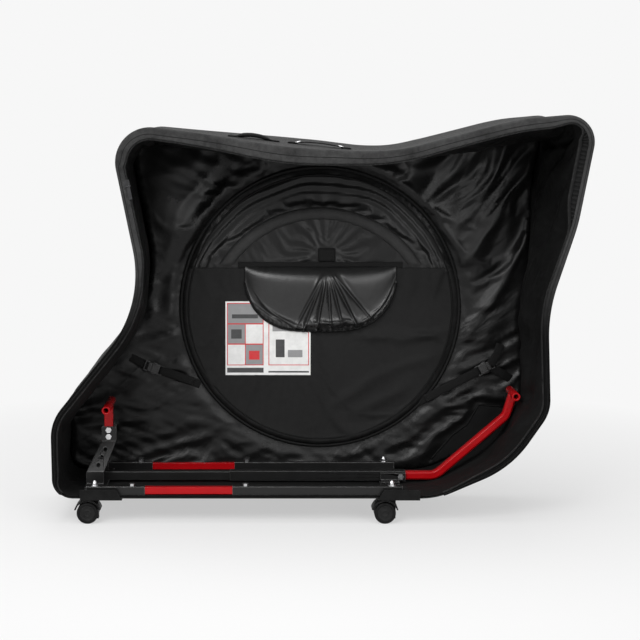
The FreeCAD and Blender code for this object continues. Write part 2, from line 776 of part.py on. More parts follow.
def inset_corners(corners, insets):
    """The outline with each side, which starts at its corner, moved inwards by its own distance."""
    count = len(corners)
    sides = []
    for index in range(count):
        x, z, _ = corners[index]
        next_x, next_z, _ = corners[(index + 1) % count]
        run = math.hypot(next_x - x, next_z - z)
        across = ((next_x - x) / run, (next_z - z) / run)
        shift = (across[1] * insets[index], -across[0] * insets[index])
        sides.append(((x + shift[0], z + shift[1]), across))
    moved = []
    for index in range(count):
        (ax, az), (adx, adz) = sides[index - 1]
        (bx, bz), (bdx, bdz) = sides[index]
        turn = adx * bdz - adz * bdx
        along = ((bx - ax) * bdz - (bz - az) * bdx) / turn
        inset = (insets[index - 1] + insets[index]) / 2
        radius = corners[index][2] + inset * (1 if turn > 0 else -1)
        moved.append((ax + along * adx, az + along * adz, max(radius, number("gusset_thickness"))))
    return moved


def rounded_face(corners):
    """A face at y = 0 with straight sides and a tangent arc at each corner."""
    count = len(corners)
    starts = []
    middles = []
    ends = []
    for index in range(count):
        x, z, radius = corners[index]
        corner = Vector(x, 0, z)
        before = Vector(corners[index - 1][0], 0, corners[index - 1][1]).sub(corner).normalize()
        next_x, next_z, _ = corners[(index + 1) % count]
        after = Vector(next_x, 0, next_z).sub(corner).normalize()
        half_angle = before.getAngle(after) / 2
        reach = radius / math.tan(half_angle)
        inwards = before.add(after).normalize()
        starts.append(corner + before * reach)
        ends.append(corner + after * reach)
        middles.append(corner + inwards * (radius / math.sin(half_angle) - radius))
    edges = []
    for index in range(count):
        edges.append(Part.Arc(starts[index], middles[index], ends[index]).toShape())
        edges.append(Part.LineSegment(ends[index], starts[(index + 1) % count]).toShape())
    return Part.Face(Part.Wire(edges))


def side_insets(rear, top, front, floor):
    """One inset for each side of the outline, by the corner where the side starts."""
    by_corner = {"heel": rear, "tail": rear, "waist": rear, "crest": top, "dip": top, "brow": top}
    return [by_corner.get(name, floor if name == "toe" else front) for name in OUTLINE]


CORNERS = outline_corners()
LEAN = math.atan2(number("flare"), number("nose_z - floor_z"))
WIDE = 2 * (number("base_half_width") + number("flare"))
FAR_FRAME = Placement(Vector(0, number("base_half_width"), number("floor_z")),
                      Rotation(Vector(1, 0, 0), -math.degrees(LEAN)))
NEAR_FRAME = Placement(Vector(0, -number("base_half_width"), number("floor_z")),
                       Rotation(Vector(1, 0, 0), math.degrees(LEAN)))


def prism(face):
    """A face of the side view drawn out right across the case."""
    return face.translated(Vector(0, -WIDE / 2, 0)).extrude(Vector(0, WIDE, 0))


def slab(frame, low, high):
    """A wide plate parallel to a side of the case; low and high count across it from its outer face."""
    reach = number("wheelbase") * 2
    plate = Part.makeBox(2 * reach, high - low, 2 * reach, Vector(-reach, low, -reach))
    plate.Placement = frame
    return plate


def level(z):
    """Distance up a leaning side for a height above the ground."""
    return (z - number("floor_z")) / math.cos(LEAN)


def make_soft_shell():
    outline = prism(rounded_face(CORNERS))
    thin = number("gusset_thickness")
    wall_insets = side_insets(thin, thin, thin, number("floor_thickness"))
    hollow = prism(rounded_face(inset_corners(CORNERS, wall_insets)))
    node(feature("far_side_panel", outline.common(slab(FAR_FRAME, -number("panel_thickness"), 0))),
         "far_side_panel")
    room = slab(FAR_FRAME, -WIDE * 2, -number("panel_thickness"))
    room = room.common(slab(NEAR_FRAME, number("border_thickness"), WIDE * 2))
    band = outline.cut(hollow).common(room)
    floor_front = number("toe_x") - number("toe_radius") * math.tan(
        math.atan2(number("chin_rise"), number("chin_x - toe_x")) / 2)
    low = number("floor_z - overcut")
    floor_box = Part.makeBox(floor_front - number("rear_cross_x"), WIDE * 2,
                             number("floor_thickness + 2 * overcut"),
                             Vector(number("rear_cross_x"), -WIDE, low))
    height = number("crest_z - crest_rise") - number("crest_radius") / 2 - low
    reach = number("wheelbase")
    rear_end = number("pocket_x - pocket_radius")
    rear_box = Part.makeBox(reach, WIDE * 2, height, Vector(rear_end - reach, -WIDE, low))
    front_box = Part.makeBox(reach, WIDE * 2, height, Vector(floor_front, -WIDE, low))
    holes = []
    for x, y in STEMS.values():
        holes.append(Part.makeCylinder(number("stem_diameter / 2 + hole_gap"),
                                       number("floor_thickness + 2 * overcut"),
                                       Vector(number(x), number(y), low)))
    node(feature("floor_panel", band.common(floor_box).cut(holes)), "floor_panel")
    walls = band.cut(floor_box)
    node(feature("rear_gusset", walls.common(rear_box)), "rear_gusset")
    node(feature("front_gusset", walls.common(front_box)), "front_gusset")
    node(feature("top_gusset", walls.cut([rear_box, front_box])), "top_gusset")


def opening(extra):
    """The side outline of the opening, drawn in by the border and by a further distance."""
    rear = number("border_rear") + extra
    top = number("border_top") + extra
    front = number("border_front") + extra
    below = -2 * number("border_top")
    return prism(rounded_face(inset_corners(CORNERS, side_insets(rear, top, front, below))))


def make_border():
    sheet = slab(NEAR_FRAME, 0, number("border_thickness"))
    side = 4 * WIDE
    above_floor = Part.makeBox(side, side, side, Vector(-side / 2, -side / 2, number("rail_z")))
    outline = prism(rounded_face(CORNERS))
    hole = opening(0)
    border = outline.cut(hole).common(sheet)
    node(feature("rim_border", border.common(above_floor)), "rim_border")
    chain = hole.cut(opening(number("chain_width"))).common(outline).common(sheet)
    node(feature("zip_chain", chain.common(above_floor)), "zip_chain")


# Wheel pocket and what is sewn on it, laid on the leaning far panel
def on_panel(item, x, depth, z, turn=Rotation()):
    """Place an item by its corner or centre on the far panel: depth counts inwards from the outer face."""
    item.Placement = FAR_FRAME * Placement(Vector(x, -depth, level(z)), turn)
    return item


def panel_box(name, x, z, depth, length, height, thickness):
    """A flat piece with its lower rear corner at x and z, standing inwards from a depth."""
    item = doc.addObject("Part::Box", name)
    tie(item, Length=length, Width=thickness, Height=height)
    return on_panel(item, number(x), number(f"{depth} + {thickness}"), number(z))


def panel_disc(name, x, z, depth, radius, thickness):
    item = doc.addObject("Part::Cylinder", name)
    tie(item, Radius=radius, Height=thickness)
    return on_panel(item, number(x), number(f"{depth} + {thickness}"), number(z), TURNS["y"])


def make_wheel_pocket():
    pocket_top = "panel_thickness + pocket_depth"
    lower_top = f"{pocket_top} + lower_panel_depth"
    wide = "2 * pocket_radius"
    node(panel_disc("wheel_pocket", "pocket_x", "pocket_z", "panel_thickness", "pocket_radius",
                    "pocket_depth"), "wheel_pocket")
    disc = panel_disc("lower_panel_disc", "pocket_x", "pocket_z", pocket_top,
                      "pocket_radius - lower_panel_inset", "lower_panel_depth")
    below = panel_box("lower_panel_keep", "pocket_x - pocket_radius", "strap_z - strap_width / 2 - " + wide,
                      pocket_top, wide, wide, "lower_panel_depth")
    node(common("pocket_lower_panel", disc, below), "pocket_lower_panel")
    ring_z = "pocket_z - ring_drop"
    ring_outer = panel_disc("ring_outer", "pocket_x", ring_z, pocket_top, "ring_radius", "ring_depth")
    ring_inner = panel_disc("ring_inner", "pocket_x", ring_z, f"{pocket_top} - overcut",
                            "ring_radius - ring_width", "ring_depth + 2 * overcut")
    above = panel_box("ring_keep", "pocket_x - pocket_radius", "strap_z + strap_width / 2",
                      f"{pocket_top} - overcut", wide, wide, "ring_depth + 2 * overcut")
    node(common("pocket_ring", cut("ring_blank", ring_outer, [ring_inner]), above), "pocket_ring")
    node(panel_box("pocket_strap", "pocket_x - strap_length / 2", "strap_z - strap_width / 2", pocket_top,
                   "strap_length", "strap_width", "strap_depth + lower_panel_depth"), "pocket_strap")
    node(panel_box("hub_patch", "pocket_x - hub_patch_width / 2", "strap_z + strap_width / 2", pocket_top,
                   "hub_patch_width", "hub_patch_height", "lower_panel_depth"), "hub_patch")
    node(panel_box("packing_card", "pocket_x - card_left", "strap_z - card_drop - card_height", lower_top,
                   "card_width", "card_height", "card_depth"), "packing_card")
    make_pouch(number(f"{lower_top} + card_depth"))


def make_pouch(depth):
    """The pouch under the band, straight at its top, with its lower corners widely rounded."""
    half = number("pouch_width / 2")
    middle = number("pocket_x")
    top = level(number("strap_z - strap_width / 2"))
    bottom = top - number("pouch_drop")
    thickness = number("pouch_depth")
    top_corner = number("pouch_top_corner")
    low_corner = number("pouch_corner")
    outline = [(middle - half, top, top_corner), (middle + half, top, top_corner),
               (middle + half, bottom, low_corner), (middle - half, bottom, low_corner)]
    bag = feature("gathered_pouch", rounded_face(outline).extrude(Vector(0, thickness, 0)))
    bag.Placement = FAR_FRAME * Placement(Vector(0, -depth - thickness, 0), Rotation())
    node(bag, "gathered_pouch")


def panel_strip(name, x, z, slope, depth, length, width, thickness):
    """A flat piece on the far panel that runs from a point along a slope in degrees."""
    item = doc.addObject("Part::Box", name)
    tie(item, Length=length, Width=thickness, Height=width)
    half = number(width) / 2
    corner_x = x + half * math.sin(math.radians(slope))
    corner_z = z - half * math.cos(math.radians(slope))
    turn = Rotation(Vector(0, 1, 0), -slope)
    return on_panel(item, corner_x, number(f"{depth} + {thickness}"), corner_z, turn)


def make_inner_straps():
    """Webbing that slants up from the pocket's edge to the rear and the front, buckled at its outer end."""
    straps = []
    buckles = []
    reach = "(pocket_radius + webbing_width / 2)"
    for end, sign in (("rear", -1), ("front", 1)):
        run = number(f"{end}_strap_run")
        rise = number(f"{end}_strap_rise")
        start_x = number("pocket_x") + sign * number(f"sqrt({reach} ^ 2 - {end}_strap_drop ^ 2)")
        start_z = number(f"pocket_z - {end}_strap_drop")
        slope = math.degrees(math.atan2(rise, sign * run))
        length = f"sqrt({end}_strap_run ^ 2 + {end}_strap_rise ^ 2)"
        straps.append(panel_strip(f"{end}_strap", start_x, start_z, slope, "panel_thickness", length,
                                  "webbing_width", "webbing_depth"))
        share = 1 - number("buckle_length") / math.hypot(run, rise)
        buckle_x = start_x + sign * run * share
        buckle_z = start_z + rise * share
        buckles.append(panel_strip(f"{end}_buckle", buckle_x, buckle_z, slope,
                                   "panel_thickness + webbing_depth", "buckle_length", "buckle_width",
                                   "buckle_depth"))
    node(group("inner_straps", straps), "inner_straps")
    node(group("inner_strap_buckles", buckles), "inner_strap_buckles")


# Zip slider and its pull on the straight rear stretch of the rim
def slider_frame():
    """Place on the zip chain: local Z runs up the chain, X across it to the opening, Y into the case."""
    chain = inset_corners(CORNERS, side_insets(number("border_rear"), number("border_top"),
                                               number("border_front"), 0))
    first = OUTLINE.index("waist")
    waist, crest, dip = [Vector(x, 0, z) for x, z, _ in chain[first:first + 3]]
    along = crest.sub(waist)
    half_turn = waist.sub(crest).getAngle(dip.sub(crest)) / 2
    arc_reach = chain[first + 1][2] / math.tan(half_turn)
    point = crest - along.normalize() * (arc_reach + number("slider_inset"))
    tilt = math.degrees(math.atan2(along.x, along.z))
    return NEAR_FRAME * Placement(Vector(point.x, 0, level(point.z)), Rotation(Vector(0, 1, 0), tilt))


def make_zip_slider():
    depth = "border_thickness + 2 * (slider_gap + slider_plate)"
    low = "-slider_gap - slider_plate"
    width = "slider_reach + chain_width + slider_gap + slider_plate"
    shell = box("slider_shell", "-slider_reach", low, "-slider_length / 2", width, depth, "slider_length")
    slot = box("slider_slot", "-slider_reach - overcut", "-slider_gap", "-slider_length / 2 - overcut",
               "slider_reach + overcut + chain_width + slider_gap", "border_thickness + 2 * slider_gap",
               "slider_length + 2 * overcut")
    bar_y = "-slider_gap - slider_plate - pull_bar_diameter"
    bar_z = "-slider_length / 2 + pull_post"
    bar_x = "chain_width / 2 - pull_width / 2"
    post_places = (f"{bar_x} - pull_post - slider_gap", f"{bar_x} + pull_width + slider_gap")
    posts = [box(f"slider_post_{index}", x, f"{bar_y} - pull_bar_diameter / 2",
                 f"{bar_z} - pull_bar_diameter / 2", "pull_post", "2 * pull_bar_diameter",
                 "pull_bar_diameter")
             for index, x in enumerate(post_places)]
    bar = rod("slider_bar", "x", f"{bar_x} - pull_post", bar_y, bar_z, "pull_bar_diameter / 2",
              "pull_width + 2 * pull_post")
    slider = fuse("zip_slider", [cut("slider_channel", shell, [slot]), *posts, bar])
    eye_radius = "pull_bar_diameter / 2 + running_gap"
    eye = rod("pull_eye", "x", bar_x, bar_y, bar_z, f"{eye_radius} + pull_thickness / 2", "pull_width")
    tab = box("pull_tab", bar_x, f"{bar_y} - pull_thickness / 2", f"{bar_z} - pull_length", "pull_width",
              "pull_thickness", "pull_length")
    hole = rod("pull_hole", "x", f"{bar_x} - overcut", bar_y, bar_z, eye_radius, "pull_width + 2 * overcut")
    pull = cut("zip_pull", fuse("pull_blank", [eye, tab]), [hole])
    frame = slider_frame()
    for item, name in ((slider, "zip_slider"), (pull, "zip_pull")):
        item.Placement = frame
        node(item, name)


# Carrying webbing that follows the top of the case
def top_band(x, length, width, depth, lift):
    """A strip of even thickness on the top outline, or lifted off it, centred across the case."""
    lower = rounded_face(inset_corners(CORNERS, [-lift] * len(CORNERS)))
    upper = rounded_face(inset_corners(CORNERS, [-lift - depth] * len(CORNERS)))
    start = Vector(x - length / 2, -width / 2, number("pocket_z"))
    keep = Part.makeBox(length, width, number("crest_z"), start)
    return prism(upper).cut(prism(lower)).common(keep)


def make_top_webbing():
    node(feature("top_handle", top_band(number("handle_x"), number("handle_length"), number("handle_width"),
                                        number("handle_depth"), 0)), "top_handle")
    strap_x = number("top_strap_x")
    strap_length = number("top_strap_length")
    strap_depth = number("top_strap_depth")
    node(feature("top_strap", top_band(strap_x, strap_length, number("top_strap_width"), strap_depth, 0)),
         "top_strap")
    inset = (strap_length - number("ring_plate_length")) / 2
    lift = strap_depth + number("ring_plate_gap")
    rings = [top_band(strap_x + sign * inset, number("ring_plate_length"), number("ring_plate_width"),
                      number("ring_plate_depth"), lift) for sign in (-1, 1)]
    node(feature("top_strap_rings", Part.makeCompound(rings)), "top_strap_rings")


make_rails()
make_cross_plates()
make_spine()
make_fork_support()
make_sleeve("fork_axle_sleeve", "fork_axle_x", "fork_axle_z", "fork_sleeve_length")
make_tower()
make_post()
make_sleeve("rear_axle_sleeve", "rear_axle_x", "rear_axle_z", "rear_sleeve_length")
make_tower_bolts()
make_rail_fasteners()
for caster, (caster_x, caster_y) in STEMS.items():
    make_caster(caster, caster_x, caster_y)
make_shoes()
make_soft_shell()
make_border()
make_wheel_pocket()
make_inner_straps()
make_zip_slider()
make_top_webbing()
doc.recompute()

failed = [item.Label for item in doc.Objects if "Invalid" in item.State or "Error" in item.State]
if failed:
    raise RuntimeError("failed to build: " + ", ".join(failed))
for label, item in nodes.items():
    if item.Shape.isNull() or not item.Shape.isValid() or not item.Shape.Solids:
        raise RuntimeError("no valid solid in " + label)

os.makedirs("parts", exist_ok=True)
for label, item in nodes.items():
    item.Shape.exportStep(f"parts/{label}.step")
print(len(nodes), "sub-parts written")
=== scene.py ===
import json
import math

import bpy
from mathutils import Matrix, Vector, noise
from mathutils.geometry import delaunay_2d_cdt
from mathutils.kdtree import KDTree


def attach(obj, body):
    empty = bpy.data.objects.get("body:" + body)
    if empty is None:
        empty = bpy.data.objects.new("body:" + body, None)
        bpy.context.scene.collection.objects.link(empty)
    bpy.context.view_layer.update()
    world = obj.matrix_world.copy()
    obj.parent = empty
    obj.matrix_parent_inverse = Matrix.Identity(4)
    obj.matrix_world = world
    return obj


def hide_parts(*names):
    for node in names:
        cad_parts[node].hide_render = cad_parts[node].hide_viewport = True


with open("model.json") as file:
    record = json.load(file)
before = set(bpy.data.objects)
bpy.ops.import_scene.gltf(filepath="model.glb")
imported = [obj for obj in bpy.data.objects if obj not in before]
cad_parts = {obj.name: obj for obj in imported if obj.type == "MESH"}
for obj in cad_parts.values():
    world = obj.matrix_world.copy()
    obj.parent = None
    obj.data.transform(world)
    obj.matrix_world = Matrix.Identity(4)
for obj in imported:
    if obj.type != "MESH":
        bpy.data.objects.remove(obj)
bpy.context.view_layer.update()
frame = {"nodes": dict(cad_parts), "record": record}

scene = bpy.context.scene
scene.view_settings.view_transform = "Standard"
nodes = frame["nodes"]

# Sizes of the case, in metres, as in the model
FLOOR_Z = 0.060
FLOOR_TOP = 0.066
HALF_WIDTH = 0.150
SLOPE = 0.055 / 0.875
LEAN = math.atan(SLOPE)
PANEL = 0.008
POCKET = Vector((0.017, 0.468))
POCKET_DEPTH = PANEL + 0.018
STRAP_Z = 0.572

# Corners of the side outline with their radii: up the rear, over the top, down the front, along the floor
OUTLINE = (
    (-0.6095, 0.060, 0.045),
    (-0.6095, 0.241, 0.109),
    (-0.3897, 0.5133, 0.281),
    (-0.4688, 0.9221, 0.077),
    (0.1659, 0.8567, 0.398),
    (0.4479, 0.9299, 0.549),
    (0.6211, 0.9444, 0.059),
    (0.5797, 0.6961, 0.416),
    (0.5199, 0.4992, 0.366),
    (0.5328, 0.266, 0.089),
    (0.4474, 0.1355, 0.238),
    (0.2769, 0.060, 0.167),
)


def set_all(target, **values):
    """Set several settings of a node, modifier or other item."""
    for name, value in values.items():
        setattr(target, name, value)


# Node tree helpers
def add(tree, kind, inputs=None, **settings):
    """Add a shader node; inputs are plain values or sockets to link from."""
    made = tree.nodes.new("ShaderNode" + kind)
    set_all(made, **settings)
    for key, value in (inputs or {}).items():
        if isinstance(value, bpy.types.NodeSocket):
            tree.links.new(value, made.inputs[key])
        else:
            made.inputs[key].default_value = value
    return made


def use_group(tree, group, inputs):
    return add(tree, "Group", inputs, node_tree=group)


def calc(tree, operation, first, second=0.0):
    return add(tree, "Math", {0: first, 1: second}, operation=operation).outputs[0]


def spread(tree, value, low, high, from_low=0.0, from_high=1.0):
    """Map a value from one range to another."""
    made = add(tree, "MapRange", {"Value": value, "From Min": from_low, "From Max": from_high,
                                  "To Min": low, "To Max": high})
    return made.outputs["Result"]


def new_group(name, output, **inputs):
    """A node group with one float output; inputs are socket names with their kinds."""
    group = bpy.data.node_groups.new(name, "ShaderNodeTree")
    for socket_name, kind in inputs.items():
        group.interface.new_socket(name=socket_name, in_out="INPUT", socket_type="NodeSocket" + kind)
    group.interface.new_socket(name=output, in_out="OUTPUT", socket_type="NodeSocketFloat")
    start = group.nodes.new("NodeGroupInput")
    end = group.nodes.new("NodeGroupOutput")
    return group, start, end


def plain_weave():
    """Over-and-under threads on a UV map in metres."""
    group, start, end = new_group("plain_weave", "Height", Vector="Vector", Threads="Float")
    place = add(group, "SeparateXYZ", {0: start.outputs["Vector"]})
    across = calc(group, "MULTIPLY", place.outputs["X"], start.outputs["Threads"])
    along = calc(group, "MULTIPLY", place.outputs["Y"], start.outputs["Threads"])
    warp = calc(group, "ABSOLUTE", calc(group, "SINE", calc(group, "MULTIPLY", across, math.pi)))
    weft = calc(group, "ABSOLUTE", calc(group, "SINE", calc(group, "MULTIPLY", along, math.pi)))
    cells = calc(group, "ADD", calc(group, "FLOOR", across), calc(group, "FLOOR", along))
    over = calc(group, "MULTIPLY", calc(group, "FRACT", calc(group, "MULTIPLY", cells, 0.5)), 2.0)
    height = add(group, "Mix", {"Factor": over, "A": warp, "B": weft}, data_type="FLOAT")
    group.links.new(height.outputs[0], end.inputs["Height"])
    return group


def mottle():
    """Soft patches at one scale with finer ones in them."""
    group, start, end = new_group("mottle", "Value", Vector="Vector", Scale="Float")
    patches = add(group, "TexNoise", {"Vector": start.outputs["Vector"], "Scale": start.outputs["Scale"],
                                      "Detail": 5.0, "Roughness": 0.62})
    group.links.new(patches.outputs["Fac"], end.inputs["Value"])
    return group


def edge_wear_and_highlight():
    """Scuffed edges and painted edge highlights: bright where the rounded normal turns away from the face,
    broken up by noise.
    """
    group, start, end = new_group("edge_wear_and_highlight", "Mask", Vector="Vector", Rounded="Vector", Amount="Float")
    normal = add(group, "NewGeometry").outputs["Normal"]
    facing = add(group, "VectorMath", {0: start.outputs["Rounded"], 1: normal},
                 operation="DOT_PRODUCT").outputs["Value"]
    edge = spread(group, facing, 1.0, 0.0, 0.80, 0.97)
    edge_breakup = add(group, "TexNoise", {"Vector": start.outputs["Vector"], "Scale": 110.0, "Detail": 4.0})
    broken = spread(group, edge_breakup.outputs["Fac"], 0.25, 1.0, 0.35, 0.60)
    mask = calc(group, "MULTIPLY", calc(group, "MULTIPLY", edge, broken), start.outputs["Amount"])
    group.links.new(mask, end.inputs["Mask"])
    return group


def fine_grain():
    """Moulded or sprayed grain as a height."""
    group, start, end = new_group("fine_grain", "Height", Vector="Vector", Scale="Float")
    cells = add(group, "TexVoronoi", {"Vector": start.outputs["Vector"], "Scale": start.outputs["Scale"]})
    specks = add(group, "TexNoise", {"Vector": start.outputs["Vector"], "Scale": start.outputs["Scale"],
                                     "Detail": 3.0})
    height = calc(group, "ADD", cells.outputs["Distance"], specks.outputs["Fac"])
    group.links.new(height, end.inputs["Height"])
    return group


def crumpled():
    """Sharp small creases, longer along a slant in the side view, as a height."""
    group, start, end = new_group("crumpled", "Height", Vector="Vector", Slant="Vector", Scale="Float")
    turned = add(group, "Mapping", {"Vector": start.outputs["Vector"], "Rotation": start.outputs["Slant"],
                                    "Scale": (3.2, 1.0, 1.0)}, vector_type="TEXTURE")
    lumps = add(group, "TexNoise", {"Vector": turned.outputs["Vector"], "Scale": start.outputs["Scale"],
                                    "Detail": 3.0, "Roughness": 0.55, "Distortion": 0.5})
    from_crest = calc(group, "ABSOLUTE", calc(group, "SUBTRACT", lumps.outputs["Fac"], 0.5))
    areas = add(group, "TexNoise", {"Vector": start.outputs["Vector"], "Scale": 5.0, "Detail": 1.0})
    present = spread(group, areas.outputs["Fac"], 0.0, 1.0, 0.42, 0.66)
    height = calc(group, "MULTIPLY", spread(group, from_crest, 1.0, 0.0, 0.0, 0.14), present)
    group.links.new(height, end.inputs["Height"])
    return group


WEAVE = plain_weave()
MOTTLE = mottle()
EDGE_WEAR_AND_HIGHLIGHT = edge_wear_and_highlight()
GRAIN = fine_grain()
CRUMPLE = crumpled()


# Materials
def new_material(name, **constants):
    material = bpy.data.materials.new(name)
    material.use_nodes = True
    tree = material.node_tree
    shader = tree.nodes["Principled BSDF"]
    for key, value in constants.items():
        shader.inputs[key.replace("_", " ").title().replace("Ior", "IOR")].default_value = value
    return material, tree, shader


def grey(value):
    return (value, value, value, 1.0)


def darker(colour, share):
    """A share of a colour's brightness."""
    return tuple(share * channel for channel in colour[:3]) + (1.0,)


def tint(tree, share, stops):
    """A colour ramp over a share from 0 to 1."""
    ramp = add(tree, "ValToRGB", {"Fac": share})
    points = ramp.color_ramp.elements
    while len(points) < len(stops):
        points.new(0.5)
    for point, (place, colour) in zip(points, stops):
        point.position = place
        point.color = colour
    return ramp.outputs["Color"]


def vary_roughness(tree, shader, value, low, high):
    """Roughness that follows a noise value, from its low end to its high end."""
    tree.links.new(spread(tree, value, low, high, 0.3, 0.7), shader.inputs["Roughness"])


def raise_surface(tree, shader, height, strength, distance, **more):
    """Bump the shader's normal by a height."""
    bumped = add(tree, "Bump", {"Height": height, "Strength": strength, "Distance": distance, **more})
    tree.links.new(bumped.outputs["Normal"], shader.inputs["Normal"])


def cloth_material(name, dark, light, roughness, threads, bump, specular=0.10, sheen=0.0, patch=9.0, low=None,
                   crumple=0.0, slant=0.0, crumple_scale=15.0, sleek=0.0):
    """Woven cloth on a UV map in metres: threads, slubs and soft patches.

    Below given heights it takes painted shade: its colour darkens towards the bottom.
    It may have fine creases along a slant, and be sleeker higher up.
    """
    material, tree, shader = new_material(name, sheen_weight=sheen, sheen_roughness=0.45,
                                          specular_ior_level=specular)
    uv = add(tree, "UVMap").outputs["UV"]
    place = add(tree, "TexCoord").outputs["Object"]
    weave = use_group(tree, WEAVE, {"Vector": uv, "Threads": threads})
    patches = use_group(tree, MOTTLE, {"Vector": place, "Scale": patch})
    slubs = add(tree, "TexNoise", {"Vector": uv, "Scale": 70.0, "Detail": 6.0, "Roughness": 0.7})
    shade = calc(tree, "ADD", calc(tree, "MULTIPLY", patches.outputs["Value"], 0.55),
                 calc(tree, "MULTIPLY", slubs.outputs["Fac"], 0.45))
    shade = calc(tree, "ADD", shade, spread(tree, weave.outputs["Height"], -0.10, 0.06))
    colour = tint(tree, shade, [(0.32, dark), (0.68, light)])
    height = add(tree, "SeparateXYZ", {0: place}).outputs["Z"]
    # Painted shade: below the given heights the colour fades to under a fifth of the dark tone.
    if low:
        share = spread(tree, height, 0.0, 1.0, *low)
        mixed = add(tree, "Mix", {"Factor": share, "A": darker(dark, 0.18), "B": colour}, data_type="RGBA")
        colour = mixed.outputs["Result"]
    tree.links.new(colour, shader.inputs["Base Color"])
    rough = spread(tree, patches.outputs["Value"], roughness - 0.06, roughness + 0.06, 0.3, 0.7)
    if sleek:
        rough = calc(tree, "SUBTRACT", rough, spread(tree, height, 0.0, sleek, 0.34, 0.56))
    tree.links.new(rough, shader.inputs["Roughness"])
    relief = calc(tree, "ADD", weave.outputs["Height"], calc(tree, "MULTIPLY", slubs.outputs["Fac"], 0.8))
    more = {}
    if crumple:
        creased = use_group(tree, CRUMPLE, {"Vector": place, "Slant": (0.0, -slant, 0.0),
                                            "Scale": crumple_scale})
        folded = add(tree, "Bump", {"Height": creased.outputs["Height"], "Strength": crumple,
                                    "Distance": 0.005})
        more["Normal"] = folded.outputs["Normal"]
    raise_surface(tree, shader, relief, bump, 0.0006, **more)
    return material


def painted_material(name, base, worn_and_highlight, roughness, edge_amount, specular):
    """Powder coat on metal with a fine skin, rounded edges and scuffed spots on them; a pale edge colour at
    full amount, as on the black coat, paints a highlight along the edges.
    """
    material, tree, shader = new_material(name, specular_ior_level=specular)
    place = add(tree, "TexCoord").outputs["Object"]
    rounded = add(tree, "Bevel", {"Radius": 0.0026}, samples=8).outputs["Normal"]
    rubbed_and_highlight = use_group(tree, EDGE_WEAR_AND_HIGHLIGHT, {"Vector": place, "Rounded": rounded, "Amount": edge_amount})
    patches = use_group(tree, MOTTLE, {"Vector": place, "Scale": 24.0})
    body = tint(tree, patches.outputs["Value"], [(0.35, darker(base, 0.90)), (0.65, base)])
    # Edge colour over the body by the edge mask: scuffed paint, and on the black coat a painted highlight
    # along the edges.
    colour = add(tree, "Mix", {"Factor": rubbed_and_highlight.outputs["Mask"], "A": body, "B": worn_and_highlight}, data_type="RGBA")
    tree.links.new(colour.outputs["Result"], shader.inputs["Base Color"])
    vary_roughness(tree, shader, patches.outputs["Value"], roughness - 0.03, roughness + 0.04)
    skin = use_group(tree, GRAIN, {"Vector": place, "Scale": 1500.0})
    raise_surface(tree, shader, skin.outputs["Height"], 0.03, 0.0003, Normal=rounded)
    return material


def plastic_material(name, base, scuffed, roughness, grain, edge_amount=0.5, specular=0.10):
    """Moulded plastic with a fine grain and pale scuffs."""
    material, tree, shader = new_material(name, specular_ior_level=specular)
    place = add(tree, "TexCoord").outputs["Object"]
    rounded = add(tree, "Bevel", {"Radius": 0.0012}, samples=6).outputs["Normal"]
    scuffs = use_group(tree, EDGE_WEAR_AND_HIGHLIGHT, {"Vector": place, "Rounded": rounded, "Amount": edge_amount})
    patches = use_group(tree, MOTTLE, {"Vector": place, "Scale": 40.0})
    body = tint(tree, patches.outputs["Value"], [(0.35, base), (0.7, scuffed)])
    colour = add(tree, "Mix", {"Factor": scuffs.outputs["Mask"], "A": body, "B": grey(0.10)},
                 data_type="RGBA")
    tree.links.new(colour.outputs["Result"], shader.inputs["Base Color"])
    vary_roughness(tree, shader, patches.outputs["Value"], roughness - 0.08, roughness + 0.10)
    skin = use_group(tree, GRAIN, {"Vector": place, "Scale": grain})
    raise_surface(tree, shader, skin.outputs["Height"], 0.25, 0.0004)
    return material


def metal_material(name, base, roughness):
    """Plated steel with fine turning marks and dull patches."""
    material, tree, shader = new_material(name, metallic=1.0)
    place = add(tree, "TexCoord").outputs["Object"]
    patches = use_group(tree, MOTTLE, {"Vector": place, "Scale": 90.0})
    colour = tint(tree, patches.outputs["Value"], [(0.3, darker(base, 0.6)), (0.6, base)])
    tree.links.new(colour, shader.inputs["Base Color"])
    vary_roughness(tree, shader, patches.outputs["Value"], roughness + 0.12, roughness - 0.06)
    marks = add(tree, "TexNoise", {"Vector": place, "Scale": 1500.0, "Detail": 2.0})
    raise_surface(tree, shader, marks.outputs["Fac"], 0.1, 0.0002)
    return material


def webbing_material(name, dark, light):
    """Webbing: close ribs across its length and lanes along it, on a UV map in metres."""
    material, tree, shader = new_material(name, sheen_weight=0.03, sheen_roughness=0.4,
                                          specular_ior_level=0.10)
    uv = add(tree, "UVMap").outputs["UV"]
    place = add(tree, "SeparateXYZ", {0: uv})
    ribs = calc(tree, "ABSOLUTE", calc(tree, "SINE", calc(tree, "MULTIPLY", place.outputs["X"], 1900.0)))
    lanes = calc(tree, "ABSOLUTE", calc(tree, "SINE", calc(tree, "MULTIPLY", place.outputs["Y"], 900.0)))
    height = calc(tree, "ADD", ribs, calc(tree, "MULTIPLY", lanes, 0.7))
    fuzz = add(tree, "TexNoise", {"Vector": uv, "Scale": 220.0, "Detail": 4.0})
    shade = calc(tree, "ADD", calc(tree, "MULTIPLY", height, 0.25),
                 calc(tree, "MULTIPLY", fuzz.outputs["Fac"], 0.6))
    tree.links.new(tint(tree, shade, [(0.25, dark), (0.75, light)]), shader.inputs["Base Color"])
    tree.links.new(spread(tree, fuzz.outputs["Fac"], 0.62, 0.82), shader.inputs["Roughness"])
    raise_surface(tree, shader, height, 0.5, 0.0006)
    return material


